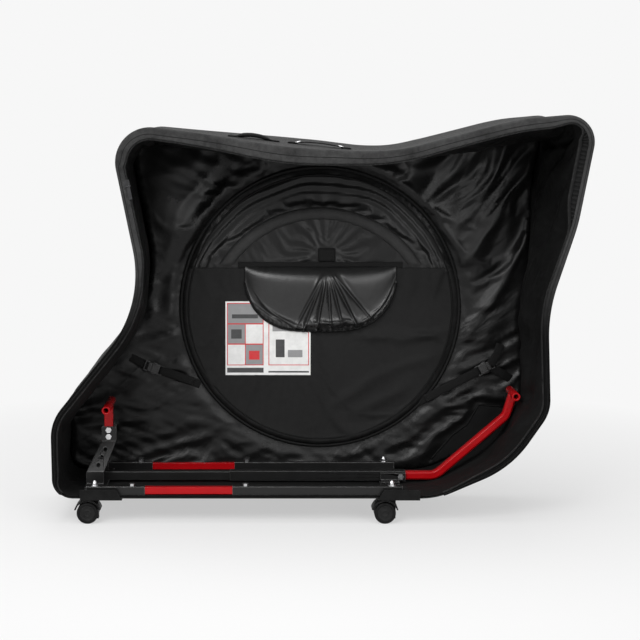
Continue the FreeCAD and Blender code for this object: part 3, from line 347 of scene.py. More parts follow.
def print_material(name, colour):
    """A printed area of the card: coated stock, faintly uneven ink."""
    material, tree, shader = new_material(name)
    place = add(tree, "TexCoord").outputs["Object"]
    patches = use_group(tree, MOTTLE, {"Vector": place, "Scale": 60.0})
    faded = tuple(min(1.0, 0.85 * channel + 0.02) for channel in colour[:3]) + (1.0,)
    ink = tint(tree, patches.outputs["Value"], [(0.35, faded), (0.65, colour)])
    tree.links.new(ink, shader.inputs["Base Color"])
    vary_roughness(tree, shader, patches.outputs["Value"], 0.30, 0.46)
    raise_surface(tree, shader, patches.outputs["Value"], 0.05, 0.001)
    return material


SHELL_CLOTH = cloth_material("shell_cloth", grey(0.008), grey(0.021), 0.62, 1400.0, 0.55, specular=0.12,
                             sheen=0.02, crumple=0.18, slant=0.2, crumple_scale=7.0)
LINING = cloth_material("lining_nylon", grey(0.0036), grey(0.0096), 0.30, 3200.0, 0.10, specular=0.20,
                        patch=6.0, crumple=0.30, slant=0.65, crumple_scale=11.0)
GUSSET_CLOTH = cloth_material("gusset_nylon", grey(0.0045), grey(0.0110), 0.68, 3200.0, 0.10, specular=0.13,
                              patch=6.0, crumple=0.60, slant=1.0, crumple_scale=9.0, sleek=0.32)
COVER_CLOTH = cloth_material("cover_nylon", grey(0.0045), grey(0.0100), 0.33, 3200.0, 0.10, specular=0.20,
                             patch=6.0)
POUCH_CLOTH = cloth_material("pouch_nylon", grey(0.010), grey(0.022), 0.30, 3200.0, 0.10, specular=0.45,
                             patch=6.0, crumple=0.12, slant=1.3, crumple_scale=24.0)
POCKET_CLOTH = cloth_material("pocket_cloth", grey(0.007), grey(0.014), 0.52, 1100.0, 0.35, specular=0.12,
                              crumple=0.22, slant=0.4, crumple_scale=6.0)
RING_CLOTH = cloth_material("ring_cloth", grey(0.022), grey(0.046), 0.60, 1300.0, 0.35, specular=0.15)
CORNER_CLOTH = cloth_material("corner_cloth", grey(0.0045), grey(0.0095), 0.46, 1500.0, 0.25,
                              crumple=0.15, slant=0.6, crumple_scale=9.0)
# The border cloth darkens below a height of 0.64 m and is darkest below 0.44 m: painted shade on its lower
# part.
RIM_CLOTH = cloth_material("rim_cloth", grey(0.013), grey(0.070), 0.74, 1000.0, 0.6, specular=0.06,
                           low=(0.44, 0.64), crumple=0.30, slant=0.1, crumple_scale=13.0)
TAPE_CLOTH = cloth_material("tape_cloth", grey(0.006), grey(0.013), 0.70, 1600.0, 0.4)
PIPING = cloth_material("piping_cloth", grey(0.004), grey(0.009), 0.52, 1800.0, 0.3)
THREAD = webbing_material("sewing_thread", grey(0.020), grey(0.050))
WEBBING = webbing_material("strap_webbing", grey(0.004), grey(0.012))
# The black coat's pale edge colour grey(0.32) at full amount: mostly a painted highlight along the tubes'
# edges, partly scuffed paint.
BLACK_PAINT = painted_material("black_powder_coat", grey(0.010), grey(0.32), 0.30, 1.0, 0.30)
RED_PAINT = painted_material("red_powder_coat", (0.42, 0.003, 0.006, 1.0), (0.55, 0.06, 0.06, 1.0),
                             0.20, 0.25, 0.19)
PLASTIC = plastic_material("black_plastic", grey(0.004), grey(0.009), 0.46, 1400.0)
BUCKLE_PLASTIC = plastic_material("buckle_plastic", grey(0.010), grey(0.022), 0.26, 1800.0, specular=0.35)
WHEEL_PLASTIC = plastic_material("wheel_plastic", grey(0.004), grey(0.009), 0.50, 1000.0)
HUB_PLASTIC = plastic_material("hub_plastic", grey(0.010), grey(0.020), 0.42, 1200.0)
TEETH_PLASTIC = plastic_material("zip_teeth", grey(0.008), grey(0.016), 0.33, 2400.0, specular=0.2)
STEEL = metal_material("plated_steel", (0.66, 0.66, 0.67, 1.0), 0.26)
ZIP_METAL = metal_material("dark_zip_metal", (0.06, 0.06, 0.062, 1.0), 0.34)
CARD_WHITE = print_material("card_white", (0.80, 0.80, 0.79, 1.0))
CARD_RED = print_material("card_red", (0.60, 0.012, 0.018, 1.0))
CARD_GREY = print_material("card_grey", (0.26, 0.26, 0.265, 1.0))
CARD_DARK = print_material("card_dark", (0.030, 0.030, 0.032, 1.0))


# Shape helpers
def smooth_step(low, high, value):
    share = min(1.0, max(0.0, (value - low) / (high - low)))
    return share * share * (3 - 2 * share)


def near_y(z):
    return -(HALF_WIDTH + SLOPE * (z - FLOOR_Z))


def far_y(z):
    return HALF_WIDTH + SLOPE * (z - FLOOR_Z)


def ripple(x, y, z, scale, seed=0.0):
    """Smooth noise from about -1 to 1."""
    return noise.noise(Vector((x * scale + seed, y * scale - seed, z * scale + 2 * seed)))


TOP_SAG = 0.013
FAR_RISE = 0.006


def relaxed(point):
    """The soft case's give: along the dip the open top edge sags and the far one stands a little higher."""
    x, y, z = point
    towards_opening = min(1.0, max(0.0, (far_y(z) - y) / (far_y(z) - near_y(z))))
    at_top = smooth_step(0.783, 0.853, z)
    sag = TOP_SAG * math.exp(-((x + 0.065) / 0.17) ** 2) * towards_opening ** 1.5
    rise = FAR_RISE * math.exp(-((x + 0.015) / 0.22) ** 2) * (1 - towards_opening)
    return Vector((x, y, z + (rise - sag) * at_top))


def rounded_outline(spacing, inset=0.0):
    """Evenly spaced points of the side outline, each moved inwards."""
    dense = []
    count = len(OUTLINE)
    for index in range(count):
        x, z, radius = OUTLINE[index]
        corner = Vector((x, z))
        before = (Vector(OUTLINE[index - 1][:2]) - corner).normalized()
        after = (Vector(OUTLINE[(index + 1) % count][:2]) - corner).normalized()
        half = before.angle(after) / 2
        reach = radius / math.tan(half)
        centre = corner + (before + after).normalized() * (radius / math.sin(half))
        first = corner + before * reach - centre
        last = corner + after * reach - centre
        steps = max(6, int(radius * (math.pi - 2 * half) / 0.003))
        for step in range(steps + 1):
            dense.append(centre + first.lerp(last, step / steps).normalized() * radius)
    lengths = [0.0]
    for index in range(len(dense)):
        lengths.append(lengths[-1] + (dense[(index + 1) % len(dense)] - dense[index]).length)
    total = lengths[-1]
    number = round(total / spacing)
    points = []
    place = 0
    for index in range(number):
        goal = total * index / number
        while lengths[place + 1] < goal:
            place += 1
        span = lengths[place + 1] - lengths[place]
        share = (goal - lengths[place]) / span if span > 0 else 0.0
        points.append(dense[place].lerp(dense[(place + 1) % len(dense)], share))
    moved = []
    for index, point in enumerate(points):
        along = (points[(index + 1) % number] - points[index - 1]).normalized()
        moved.append(point + Vector((along.y, -along.x)) * inset)
    return moved


def inward(points, index):
    """The direction into the case, in the side view, at a point of a closed outline."""
    along = (points[(index + 1) % len(points)] - points[index - 1]).normalized()
    return Vector((along.y, -along.x))


def inside(point, polygon):
    hit = False
    x, z = point
    for index in range(len(polygon)):
        x1, z1 = polygon[index]
        x2, z2 = polygon[index - 1]
        if (z1 > z) != (z2 > z) and x < (x2 - x1) * (z - z1) / (z2 - z1) + x1:
            hit = not hit
    return hit


def crossings(polygon, z):
    """Where a level line crosses a closed polygon."""
    found = []
    for index in range(len(polygon)):
        x1, z1 = polygon[index]
        x2, z2 = polygon[index - 1]
        if (z1 > z) != (z2 > z):
            found.append((x2 - x1) * (z - z1) / (z2 - z1) + x1)
    return sorted(found)


def between(x, found):
    """Whether x lies inside, given a level line's crossings."""
    return sum(1 for place in found if place > x) % 2 == 1


def on_panel(x, z, depth):
    """A point on the leaning far panel, moved inwards from its outer face."""
    return Vector((x, far_y(z) - depth * math.cos(LEAN), z + depth * math.sin(LEAN)))


def make_piece(name, points, faces, material, uvs=None, smooth=True):
    """A mesh piece in place, with a UV map in metres when one point per UV is given."""
    mesh = bpy.data.meshes.new(name)
    mesh.from_pydata([tuple(point) for point in points], [], faces)
    mesh.validate()
    if uvs:
        layer = mesh.uv_layers.new(name="metres")
        for loop in mesh.loops:
            layer.data[loop.index].uv = uvs[loop.vertex_index]
    for polygon in mesh.polygons:
        polygon.use_smooth = smooth
    mesh.materials.append(material)
    piece = bpy.data.objects.new(name, mesh)
    scene.collection.objects.link(piece)
    return piece


def only(piece):
    """Select one piece and make it active."""
    bpy.ops.object.select_all(action="DESELECT")
    bpy.context.view_layer.objects.active = piece
    piece.select_set(True)


def finish_with(piece, kind, **settings):
    """Add a modifier and apply it."""
    only(piece)
    modifier = piece.modifiers.new(kind.lower(), kind)
    set_all(modifier, **settings)
    bpy.ops.object.modifier_apply(modifier=modifier.name)


def edit_all(piece, operation, **settings):
    """Run one edit-mode operation on the whole of a piece."""
    only(piece)
    bpy.ops.object.mode_set(mode="EDIT")
    bpy.ops.mesh.select_all(action="SELECT")
    operation(**settings)
    bpy.ops.object.mode_set(mode="OBJECT")


def face_outwards(piece):
    """Turn a closed piece's faces outwards."""
    edit_all(piece, bpy.ops.mesh.normals_make_consistent, inside=False)
    return piece


def subdivided(piece):
    finish_with(piece, "SUBSURF", levels=1, render_levels=1)


def thickened(piece, thickness, offset=-1.0):
    finish_with(piece, "SOLIDIFY", thickness=thickness, offset=offset, use_quality_normals=True)


def close_ends(piece):
    """Cap the open ends of a tube or sleeve."""
    only(piece)
    bpy.ops.object.mode_set(mode="EDIT")
    bpy.ops.mesh.select_mode(type="VERT")
    bpy.ops.mesh.select_all(action="DESELECT")
    bpy.ops.mesh.select_non_manifold(extend=False)
    bpy.ops.mesh.edge_face_add()
    bpy.ops.object.mode_set(mode="OBJECT")


def grid_faces(rows, columns, closed=False):
    """Faces between rows of points that are numbered row by row; closed rows join their ends."""
    faces = []
    for row in range(rows - 1):
        for column in range(columns if closed else columns - 1):
            after = (column + 1) % columns
            faces.append((row * columns + column, row * columns + after,
                          (row + 1) * columns + after, (row + 1) * columns + column))
    return faces


def turned(faces):
    """Quads that face the other way, each from the same first corner."""
    return [(first, fourth, third, second) for first, second, third, fourth in faces]


def sheet_of_rows(name, rows, material, closed=False):
    """A sheet through rows of points; its UV map runs along and across it in metres."""
    count = len(rows[0])
    points = [point for row in rows for point in row]
    middle = rows[len(rows) // 2]
    along = [0.0]
    for index in range(1, count):
        along.append(along[-1] + (middle[index] - middle[index - 1]).length)
    across = [0.0]
    for index in range(1, len(rows)):
        across.append(across[-1] + (rows[index][count // 2] - rows[index - 1][count // 2]).length)
    uvs = [(along[column], across[row]) for row in range(len(rows)) for column in range(count)]
    return make_piece(name, points, grid_faces(len(rows), count, closed), material, uvs)


def tube(name, path, radius, material, closed=False, sides=8):
    """A round tube along points, its UV map in metres."""
    count = len(path)
    rows = [[] for _ in range(sides + 1)]
    up = Vector((0.0, 1.0, 0.03))
    for index in range(count):
        before = path[index - 1] if closed or index > 0 else path[index]
        after = path[(index + 1) % count] if closed or index < count - 1 else path[index]
        along = (after - before).normalized()
        side = along.cross(up).normalized()
        lift = side.cross(along).normalized()
        for step in range(sides + 1):
            angle = 2 * math.pi * step / sides
            offset = side * (radius * math.cos(angle)) + lift * (radius * math.sin(angle))
            rows[step].append(path[index] + offset)
    piece = sheet_of_rows(name, rows, material, closed)
    edit_all(piece, bpy.ops.mesh.remove_doubles, threshold=0.00001)
    if not closed:
        close_ends(piece)
    return face_outwards(piece)


def spaced(path, pitch):
    """Places at an even pitch along a path: the run's number, the place and the run's direction."""
    gone = 0.0
    following = 0.0
    for index in range(len(path) - 1):
        start = path[index]
        span = (path[index + 1] - start).length
        along = (path[index + 1] - start).normalized()
        while following < gone + span:
            yield index, start + along * (following - gone), along
            following += pitch
        gone += span


def bead_faces(base, steps, corners):
    """Faces of a closed bead whose sections are numbered from a base on."""
    faces = []
    for step in range(steps - 1):
        for corner in range(corners):
            low = base + step * corners + corner
            nearby = base + step * corners + (corner + 1) % corners
            faces.append((low, nearby, nearby + corners, low + corners))
    top = base + corners * (steps - 1)
    faces.append(tuple(range(base + corners - 1, base - 1, -1)))
    faces.append(tuple(range(top, top + corners)))
    return faces


# A stitch: sections as shares of its length, width and height; then length, pitch and width of two kinds
STITCH_SECTIONS = ((-0.5, 0.4, 0.0), (-0.25, 1.0, 0.7), (0.25, 1.0, 0.7), (0.5, 0.4, 0.0))
RIM_STITCH = (0.0032, 0.0045, 0.0009)
BOX_STITCH = (0.0024, 0.0034, 0.0008)
STITCH_BOX = ((-0.5, -0.5), (0.5, -0.5), (0.5, 0.5), (-0.5, 0.5), (-0.5, -0.5), (0.5, 0.5))


def stitches(name, path, up, length, pitch, width):
    """Short raised stitches along a path, each a flat bead."""
    points = []
    faces = []
    for _, centre, along in spaced(path, pitch):
        side = along.cross(up).normalized()
        faces += bead_faces(len(points), len(STITCH_SECTIONS), 3)
        for reach, half, lift in STITCH_SECTIONS:
            middle = centre + along * (reach * length)
            points.append(middle + side * (half * width / 2))
            points.append(middle + up * (lift * width + 0.0001))
            points.append(middle - side * (half * width / 2))
    uvs = [(point.x, point.z) for point in points]
    return face_outwards(make_piece(name, points, faces, THREAD, uvs))


def dress(piece, body="case"):
    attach(piece, body)
    return piece


def area_of(piece):
    return sum(polygon.area for polygon in piece.data.polygons)


def swell(x, y, z):
    """Shell fabric isn't flat: long soft swells outwards and smaller dents."""
    size = 0.0035 * ripple(x, y, z, 4.0, 7.7) + 0.0014 * ripple(x, y, z, 13.0, 3.1)
    return size * smooth_step(FLOOR_TOP, FLOOR_TOP + 0.06, z)


def hollow(share, z):
    """How far a gusset sinks in between the rim and the back."""
    return 0.004 * math.sin(math.pi * share) * smooth_step(FLOOR_TOP, 0.12, z)


# Soft case: lining, slack between the rim, the floor and the pocket's seam
LINING_INSET = 0.005
LINING_CELL = 0.0092
LINING_STEP = 0.012
LINING_GAP = 0.012
LINING_ROWS = 30
LINING_THICKNESS = 0.0006
SEAM_RADIUS = 0.343


def fill_loop(loop, cell, hole=()):
    """Points and triangles on even cells inside a clockwise loop, outside a hole if there is one."""
    coords = [point.copy() for point in loop] + [point.copy() for point in hole]
    count = len(loop)
    around = len(hole)
    edges = [(index, (index + 1) % count) for index in range(count)]
    edges += [(count + index, count + (index + 1) % around) for index in range(around)]
    inner = [point + inward(loop, index) * (cell * 0.7) for index, point in enumerate(loop)]
    outer = [point - inward(hole, index) * (cell * 0.7) for index, point in enumerate(hole)]
    low_x = min(point.x for point in loop)
    high_x = max(point.x for point in loop)
    high_z = max(point.y for point in loop)
    row = 0
    z = min(point.y for point in loop)
    while z < high_z:
        bounds = crossings(inner, z)
        gaps = crossings(outer, z)
        x = low_x + (cell / 2 if row % 2 else 0.0)
        while x < high_x:
            if between(x, bounds) and not between(x, gaps):
                coords.append(Vector((x, z)))
            x += cell
        z += cell * math.sqrt(0.75)
        row += 1
    filled, _, triangles, sources, _, _ = delaunay_2d_cdt(coords, edges, [], 1, 1e-7)
    source_of = [source[0] if source else -1 for source in sources]
    kept = []
    for triangle in triangles:
        in_hole = all(count <= source_of[index] < count + around for index in triangle)
        if not in_hole:
            kept.append(tuple(triangle))
    return filled, kept, source_of


def arc_points(centre, radius, start, end, spacing):
    """Points of an arc from one angle to another."""
    count = max(2, round(abs(end - start) * radius / spacing))
    angles = [start + (end - start) * index / count for index in range(count + 1)]
    return [centre + Vector((math.cos(angle), math.sin(angle))) * radius for angle in angles]


def ridge(x, z, start, end, height, width):
    """The height of a fold that runs from one point to another and dies out at its ends."""
    here = Vector((x, z))
    first = Vector(start)
    along = Vector(end) - first
    share = min(1.0, max(0.0, (here - first).dot(along) / along.length_squared))
    gap = (here - first - along * share).length
    return height * math.exp(-(gap / width) ** 2) * math.sin(math.pi * (0.1 + 0.8 * share))


def distance_to_path(x, z, path):
    """The distance from a point to a path of straight runs."""
    here = Vector((x, z))
    best = 10.0
    for start, end in zip(path, path[1:]):
        first = Vector(start)
        along = Vector(end) - first
        share = min(1.0, max(0.0, (here - first).dot(along) / along.length_squared))
        best = min(best, (here - first - along * share).length)
    return best


def creases(across_x, across_z, angle, along, across, seed):
    """Crumpled folds that run at an angle: 1 on a crest, down to about 0 between crests."""
    run = across_x * math.cos(angle) + across_z * math.sin(angle)
    aside = across_z * math.cos(angle) - across_x * math.sin(angle)
    wander = 0.5 * ripple(across_x, 0.0, across_z, 8.0, seed)
    value = noise.noise(Vector((run * along + seed, aside * across + wander, seed)))
    return max(0.0, 1 - 1.7 * math.sqrt(value * value + 0.004))


FRONT_STRAP = ((0.255, 0.229), (0.425, 0.320), (0.490, 0.292))
REAR_STRAP = ((-0.282, 0.277), (-0.395, 0.318), (-0.445, 0.340))
CORNER_SEAM = ((0.293, 0.090), (0.347, 0.152), (0.382, 0.177), (0.411, 0.226), (0.480, 0.221))
CORNER_PATCH = CORNER_SEAM + ((0.525, 0.220), (0.450, 0.115), (0.305, 0.066))


def in_corner_patch(x, z):
    return inside((x, z), CORNER_PATCH)


def lining_folds(x, z):
    """How far the back lining stands inwards: big slanting folds high at the front, fine ones low down."""
    offset = Vector((x, z)) - POCKET
    front = smooth_step(0.16, 0.34, x)
    low = smooth_step(0.52, 0.38, z)
    upper_front = front * (1 - low)
    lower_front = front * low
    middle = (1 - front) * low
    upper_rear = (1 - front) * (1 - low)
    bulge = math.exp(-((x + 0.360) / 0.078) ** 2 - ((z - 0.71) / 0.14) ** 2)
    fold = upper_front * (0.017 * creases(x, z, 1.02, 3.0, 15.0, 3.3)
                          + 0.006 * creases(x, z, 0.70, 8.0, 34.0, 8.8))
    fold += lower_front * (0.009 * creases(x, z, 0.48, 7.0, 34.0, 1.7)
                           + 0.005 * creases(x, z, 0.20, 14.0, 60.0, 5.4))
    fold += middle * (0.008 * creases(x, z, 0.30, 6.0, 26.0, 2.9)
                      + 0.004 * creases(x, z, -0.35, 12.0, 50.0, 6.1))
    fold += upper_rear * (1 - 0.85 * bulge) * (0.010 * creases(x, z, 1.25, 5.0, 18.0, 9.4)
                                               + 0.004 * creases(x, z, -0.50, 12.0, 40.0, 4.6))
    if in_corner_patch(x, z):
        return 0.0
    from_seam = smooth_step(0.0, 0.030, offset.length - SEAM_RADIUS)
    from_seam *= smooth_step(0.004, 0.030, distance_to_path(x, z, CORNER_SEAM))
    return from_seam * (fold + 0.034 * bulge)


def gusset_folds(run, share, x, z):
    """How far the side lining stands inwards between the rim and the back seam."""
    width = share * 0.35
    slack = math.sin(math.pi * share) * smooth_step(FLOOR_TOP + 0.02, FLOOR_TOP + 0.16, z)
    front = smooth_step(0.2, 0.5, x)
    fold = (0.006 + 0.020 * front) * creases(run, width, 0.75, 5.0, 16.0, 7.2)
    fold += (0.004 + 0.007 * front) * creases(run, width, 1.20, 9.0, 30.0, 2.1)
    return slack * fold


def corner_cut(x, z):
    """How far the slack lining's back seam lies behind the case's upper front corner, which it cuts."""
    return 0.048 * smooth_step(0.38, 0.56, x) * smooth_step(0.54, 0.76, z) * (1 - smooth_step(0.89, 0.945, z))


def settle_cloth(piece, held, slack, frames, mass, bending):
    """Let a slack cloth come to rest under its own weight; held and slack are shares per point."""
    group = piece.vertex_groups.new(name="held")
    for index, share in held.items():
        group.add([index], share, "REPLACE")
    looseness = piece.vertex_groups.new(name="slack")
    for index, share in enumerate(slack):
        looseness.add([index], share, "REPLACE")
    only(piece)
    bpy.ops.object.modifier_add(type="CLOTH")
    cloth = piece.modifiers[-1]
    set_all(cloth.settings, quality=5, mass=mass, bending_stiffness=bending, tension_stiffness=12,
            compression_stiffness=12, shear_stiffness=4, tension_damping=6, compression_damping=6,
            shear_damping=4, air_damping=2, vertex_group_mass="held", vertex_group_shrink="slack",
            shrink_min=-0.005, shrink_max=-0.085)
    cloth.collision_settings.use_collision = False
    for number in range(1, frames + 1):
        scene.frame_set(number)
    bpy.ops.object.modifier_apply(modifier=cloth.name)
    scene.frame_set(1)
    piece.vertex_groups.clear()


def inward_room(point):
    """How far the lining may stand into the case: little under the straps, none behind the stand."""
    x, y, z = point
    if in_corner_patch(x, z) and y > 0.1:
        return 0.002
    to_strap = min(distance_to_path(x, z, FRONT_STRAP), distance_to_path(x, z, REAR_STRAP))
    return 0.005 + 0.029 * smooth_step(0.006, 0.040, to_strap)


def make_lining():
    loop = rounded_outline(LINING_STEP, LINING_INSET)
    count = len(loop)
    points = []
    outwards = []
    for row in range(LINING_ROWS + 1):
        share = row / LINING_ROWS
        for index, (x, z) in enumerate(loop):
            start = near_y(z) + 0.004
            y = start + share * (far_y(z) - LINING_GAP - start)
            into = inward(loop, index)
            fold = gusset_folds(LINING_STEP * index, share, x, z)
            fold += hollow(share, z) + max(0.0, -swell(x, y, z))
            cut = corner_cut(x, z) * share ** 1.3
            points.append(Vector((x - cut + into.x * fold, y, z + into.y * fold)))
            outwards.append(Vector((-into.x, 0.0, -into.y)))
    faces = grid_faces(LINING_ROWS + 1, count, closed=True)
    side_faces = len(faces)
    far_start = LINING_ROWS * count
    held = {index: 1.0 for index in range(count)}
    held.update({far_start + index: 0.6 for index in range(count)})
    seam = arc_points(POCKET, SEAM_RADIUS, math.pi, -math.pi, 0.010)[:-1]
    filled, triangles, sources = fill_loop(loop, LINING_CELL, seam)
    number_of = {}
    for index, point in enumerate(filled):
        source = sources[index]
        if 0 <= source < count:
            number_of[index] = far_start + source
            continue
        number_of[index] = len(points)
        x, z = point
        if count <= source < count + len(seam) or in_corner_patch(x, z):
            held[len(points)] = 1.0
        points.append(Vector((x - corner_cut(x, z), far_y(z) - LINING_GAP - lining_folds(x, z), z)))
        outwards.append(Vector((0.0, 1.0, 0.0)))
    for triangle in triangles:
        faces.append(tuple(number_of[index] for index in triangle))
    points = [relaxed(point) for point in points]
    slack = []
    for index, (x, y, z) in enumerate(points):
        if index < far_start + count:
            slack.append(0.20 + 0.35 * smooth_step(0.2, 0.5, x) * smooth_step(0.3, 0.6, z))
            if z < FLOOR_TOP + 0.006:
                held[index] = 1.0
        else:
            front = smooth_step(0.10, 0.30, x)
            slack.append(0.45 + 0.40 * front + 0.15 * smooth_step(0.45, 0.25, z) * front)
    uvs = []
    for index, (x, y, z) in enumerate(points):
        if index < far_start + count:
            uvs.append((LINING_STEP * (index % count), y))
        else:
            uvs.append((x, z))
    lining = make_piece("lining", points, faces, LINING, uvs)
    settle_cloth(lining, held, slack, frames=32, mass=0.12, bending=0.08)
    for index, vertex in enumerate(lining.data.vertices):
        move = vertex.co - points[index]
        out = move.dot(outwards[index])
        if out > 0.002:
            vertex.co -= outwards[index] * (out - 0.002)
        most = inward_room(points[index])
        if out < -most:
            vertex.co -= outwards[index] * (out + most)
    only(lining)
    bpy.ops.object.mode_set(mode="EDIT")
    bpy.ops.mesh.select_all(action="DESELECT")
    bpy.ops.object.mode_set(mode="OBJECT")
    for polygon in lining.data.polygons:
        polygon.select = polygon.index < side_faces
    bpy.ops.object.mode_set(mode="EDIT")
    bpy.ops.mesh.separate(type="SELECTED")
    bpy.ops.object.mode_set(mode="OBJECT")
    side = next(piece for piece in bpy.context.selected_objects if piece is not lining)
    side.name = "side_lining"
    side.data.materials[0] = GUSSET_CLOTH
    lining.name = "back_lining"
    return lining, side


# Soft case: outer shell with a rounded edge to the back panel
SHELL_EDGE = 0.014
SHELL_CELL = 0.0095
SHELL_THICKNESS = 0.002
SHELL_CROWN = 0.009


def pull_lines(across_x, across_z):
    """How far the loose outer fabric stands out along its soft, slanting pull lines."""
    fold = 0.0060 * creases(across_x, across_z, 0.95, 1.8, 7.5, 4.1)
    fold += 0.0035 * creases(across_x, across_z, 2.25, 3.0, 12.0, 6.6)
    return fold + 0.0016 * creases(across_x, across_z, 0.30, 7.0, 26.0, 1.9)


def give(point, outwards):
    """A shell point moved by the fabric's swells along its normal."""
    return point + outwards * swell(*point)


def make_shell():
    loop = rounded_outline(SHELL_CELL)
    count = len(loop)
    rows = 36
    bend_rows = 4
    points = []
    uvs = []
    normals = []
    for row in range(rows + bend_rows + 1):
        for index, (x, z) in enumerate(loop):
            into = inward(loop, index)
            out = Vector((-into.x, 0.0, -into.y))
            start = near_y(z) + SHELL_THICKNESS
            end = far_y(z) - SHELL_EDGE
            if row <= rows:
                share = row / rows
                point = Vector((x, start + share * (end - start), z))
                point -= out * hollow(share, z)
                loose = smooth_step(0.10, 0.45, share) * (1 - smooth_step(0.80, 1.0, share))
                loose *= smooth_step(FLOOR_TOP, 0.16, z) * (1 - smooth_step(0.78, 0.86, z))
                point += out * loose * 0.7 * pull_lines(SHELL_CELL * index, point.y)
                normal = out
            else:
                turn = 0.5 * math.pi * (row - rows) / bend_rows
                normal = out * math.cos(turn) + Vector((0.0, math.sin(turn), 0.0))
                centre = Vector((x, end, z)) - out * SHELL_EDGE
                point = centre + normal * SHELL_EDGE
            points.append(point)
            normals.append(normal)
            uvs.append((SHELL_CELL * index, point.y))
    faces = turned(grid_faces(rows + bend_rows + 1, count, closed=True))
    last = (rows + bend_rows) * count
    edge = [point + inward(loop, index) * SHELL_EDGE for index, point in enumerate(loop)]
    filled, triangles, sources = fill_loop(edge, SHELL_CELL)
    number_of = {}
    seam = KDTree(count)
    for index, (x, z) in enumerate(edge):
        seam.insert((x, 0.0, z), index)
    seam.balance()
    for index, (x, z) in enumerate(filled):
        source = sources[index]
        if 0 <= source < count:
            number_of[index] = last + source
            continue
        number_of[index] = len(points)
        loose = smooth_step(0.0, 0.09, seam.find((x, 0.0, z))[2])
        crown = SHELL_CROWN * max(0.0, 1 - ((Vector((x, z)) - POCKET).length / 0.5) ** 2)
        points.append(Vector((x, far_y(z) + crown + loose * (0.7 * pull_lines(x, z) - 0.002), z)))
        normals.append(Vector((0.0, 1.0, 0.0)))
        uvs.append((x, z))
    for triangle in triangles:
        faces.append(tuple(number_of[index] for index in reversed(triangle)))
    points = [relaxed(give(point, normal)) for point, normal in zip(points, normals)]
    shell = face_outwards(make_piece("outer_shell", points, faces, SHELL_CLOTH, uvs))
    thickened(shell, SHELL_THICKNESS)
    return shell


# Soft case: border round the opening, its piping, stitching and zip
SLIDER_REACH = 0.015
TAPE_THICKNESS = 0.0006
TO_OPENING = Vector((0.0, -1.0, 0.0))
TOOTH_SECTIONS = ((-0.0014, 0.55), (0.0002, 0.45), (0.0010, 0.75), (0.0017, 0.5))
TOOTH_PITCH = 0.0028


def slider_stretch(x, z):
    """1 on the straight rear stretch that the zip slider runs on, 0 elsewhere."""
    return smooth_step(0.58, 0.63, z) * (1 - smooth_step(0.82, 0.84, z)) * smooth_step(-0.30, -0.35, x)


def border_width(x, z):
    """The border's width at a point of the outline."""
    front = smooth_step(0.50, 0.58, x)
    top = smooth_step(0.75, 0.87, z) * (1 - front)
    dip = math.exp(-((x + 0.06) / 0.20) ** 2)
    low = smooth_step(0.56, 0.40, z)
    rear = smooth_step(-0.30, -0.38, x) * (1 - top)
    width = SLIDER_REACH + top * (0.006 + 0.009 * dip)
    width -= 0.004 * front + 0.003 * rear + 0.003 * low * (1 - front)
    width += (SLIDER_REACH - width) * slider_stretch(x, z)
    return width * (0.35 + 0.65 * smooth_step(FLOOR_TOP, FLOOR_TOP + 0.05, z))


def ruche_width(x, z):
    """The width of the gathered strip between the border and the zip, down the upper front only."""
    return 0.018 * smooth_step(0.52, 0.58, x) * smooth_step(0.66, 0.76, z) * (1 - smooth_step(0.89, 0.925, z))


def zip_reach(x, z):
    """How far inwards of the outline the zip lies."""
    return border_width(x, z) + ruche_width(x, z)


def rim_points(spacing):
    """The outline's points that carry the border: all but the floor, from rear bottom to front bottom."""
    loop = rounded_outline(spacing)
    kept = [(point, inward(loop, index)) for index, point in enumerate(loop)]
    lowest = FLOOR_TOP + 0.002
    start = next(index for index, (point, _) in enumerate(kept) if point.y > lowest and point.x < 0)
    kept = kept[start:] + kept[:start]
    return [(point, into) for point, into in kept if point.y > lowest]


def rim_place(point, into, distance, lift):
    """A place on the border: distance inwards from the outline, lift outwards from the opening's plane."""
    x, z = point + into * distance
    wave = (1 - slider_stretch(point.x, point.y)) * 0.0022 * ripple(point.x, 0.0, point.y, 9.0, 5.5)
    share = distance / 0.03
    return relaxed(Vector((x, near_y(z) - lift - wave * share, z)))


def rim_row(path, reach, lift, width=lambda x, z: 0.0):
    """A row of places on the border, a reach inwards from the outline or from a width's inner edge."""
    return [rim_place(point, into, width(*point) + reach, lift) for point, into in path]


def make_border():
    path = rim_points(0.005)
    profile = ((-0.0012, -0.010), (-0.0016, -0.005), (-0.0014, -0.002), (-0.0004, 0.0002), (0.0015, 0.0012))
    rows = [rim_row(path, reach, lift) for reach, lift in profile]
    for share in (0.3, 0.5, 0.7, 0.9, 1.0):
        rows.append([rim_place(point, into, share * border_width(*point), 0.0010) for point, into in path])
    rows.append(rim_row(path, 0.0003, -0.0004, border_width))
    rows.append(rim_row(path, -0.003, -0.0010, border_width))
    border = sheet_of_rows("rim_border_tape", rows, RIM_CLOTH)
    thickened(border, TAPE_THICKNESS)
    tape_rows = [rim_row(path, reach, -0.0012, zip_reach) for reach in (-0.003, 0.0, 0.0015, 0.003)]
    tape = sheet_of_rows("zip_tape", tape_rows, TAPE_CLOTH)
    thickened(tape, TAPE_THICKNESS, offset=0.0)
    outer_row = rim_row(path, 0.0035, 0.0013)
    inner_row = rim_row(path, -0.0025, 0.0011, border_width)
    outer_stitches = stitches("border_outer_stitches", outer_row, TO_OPENING, *RIM_STITCH)
    inner_stitches = stitches("border_inner_stitches", inner_row, TO_OPENING, *RIM_STITCH)
    return border, tape, outer_stitches, inner_stitches, path


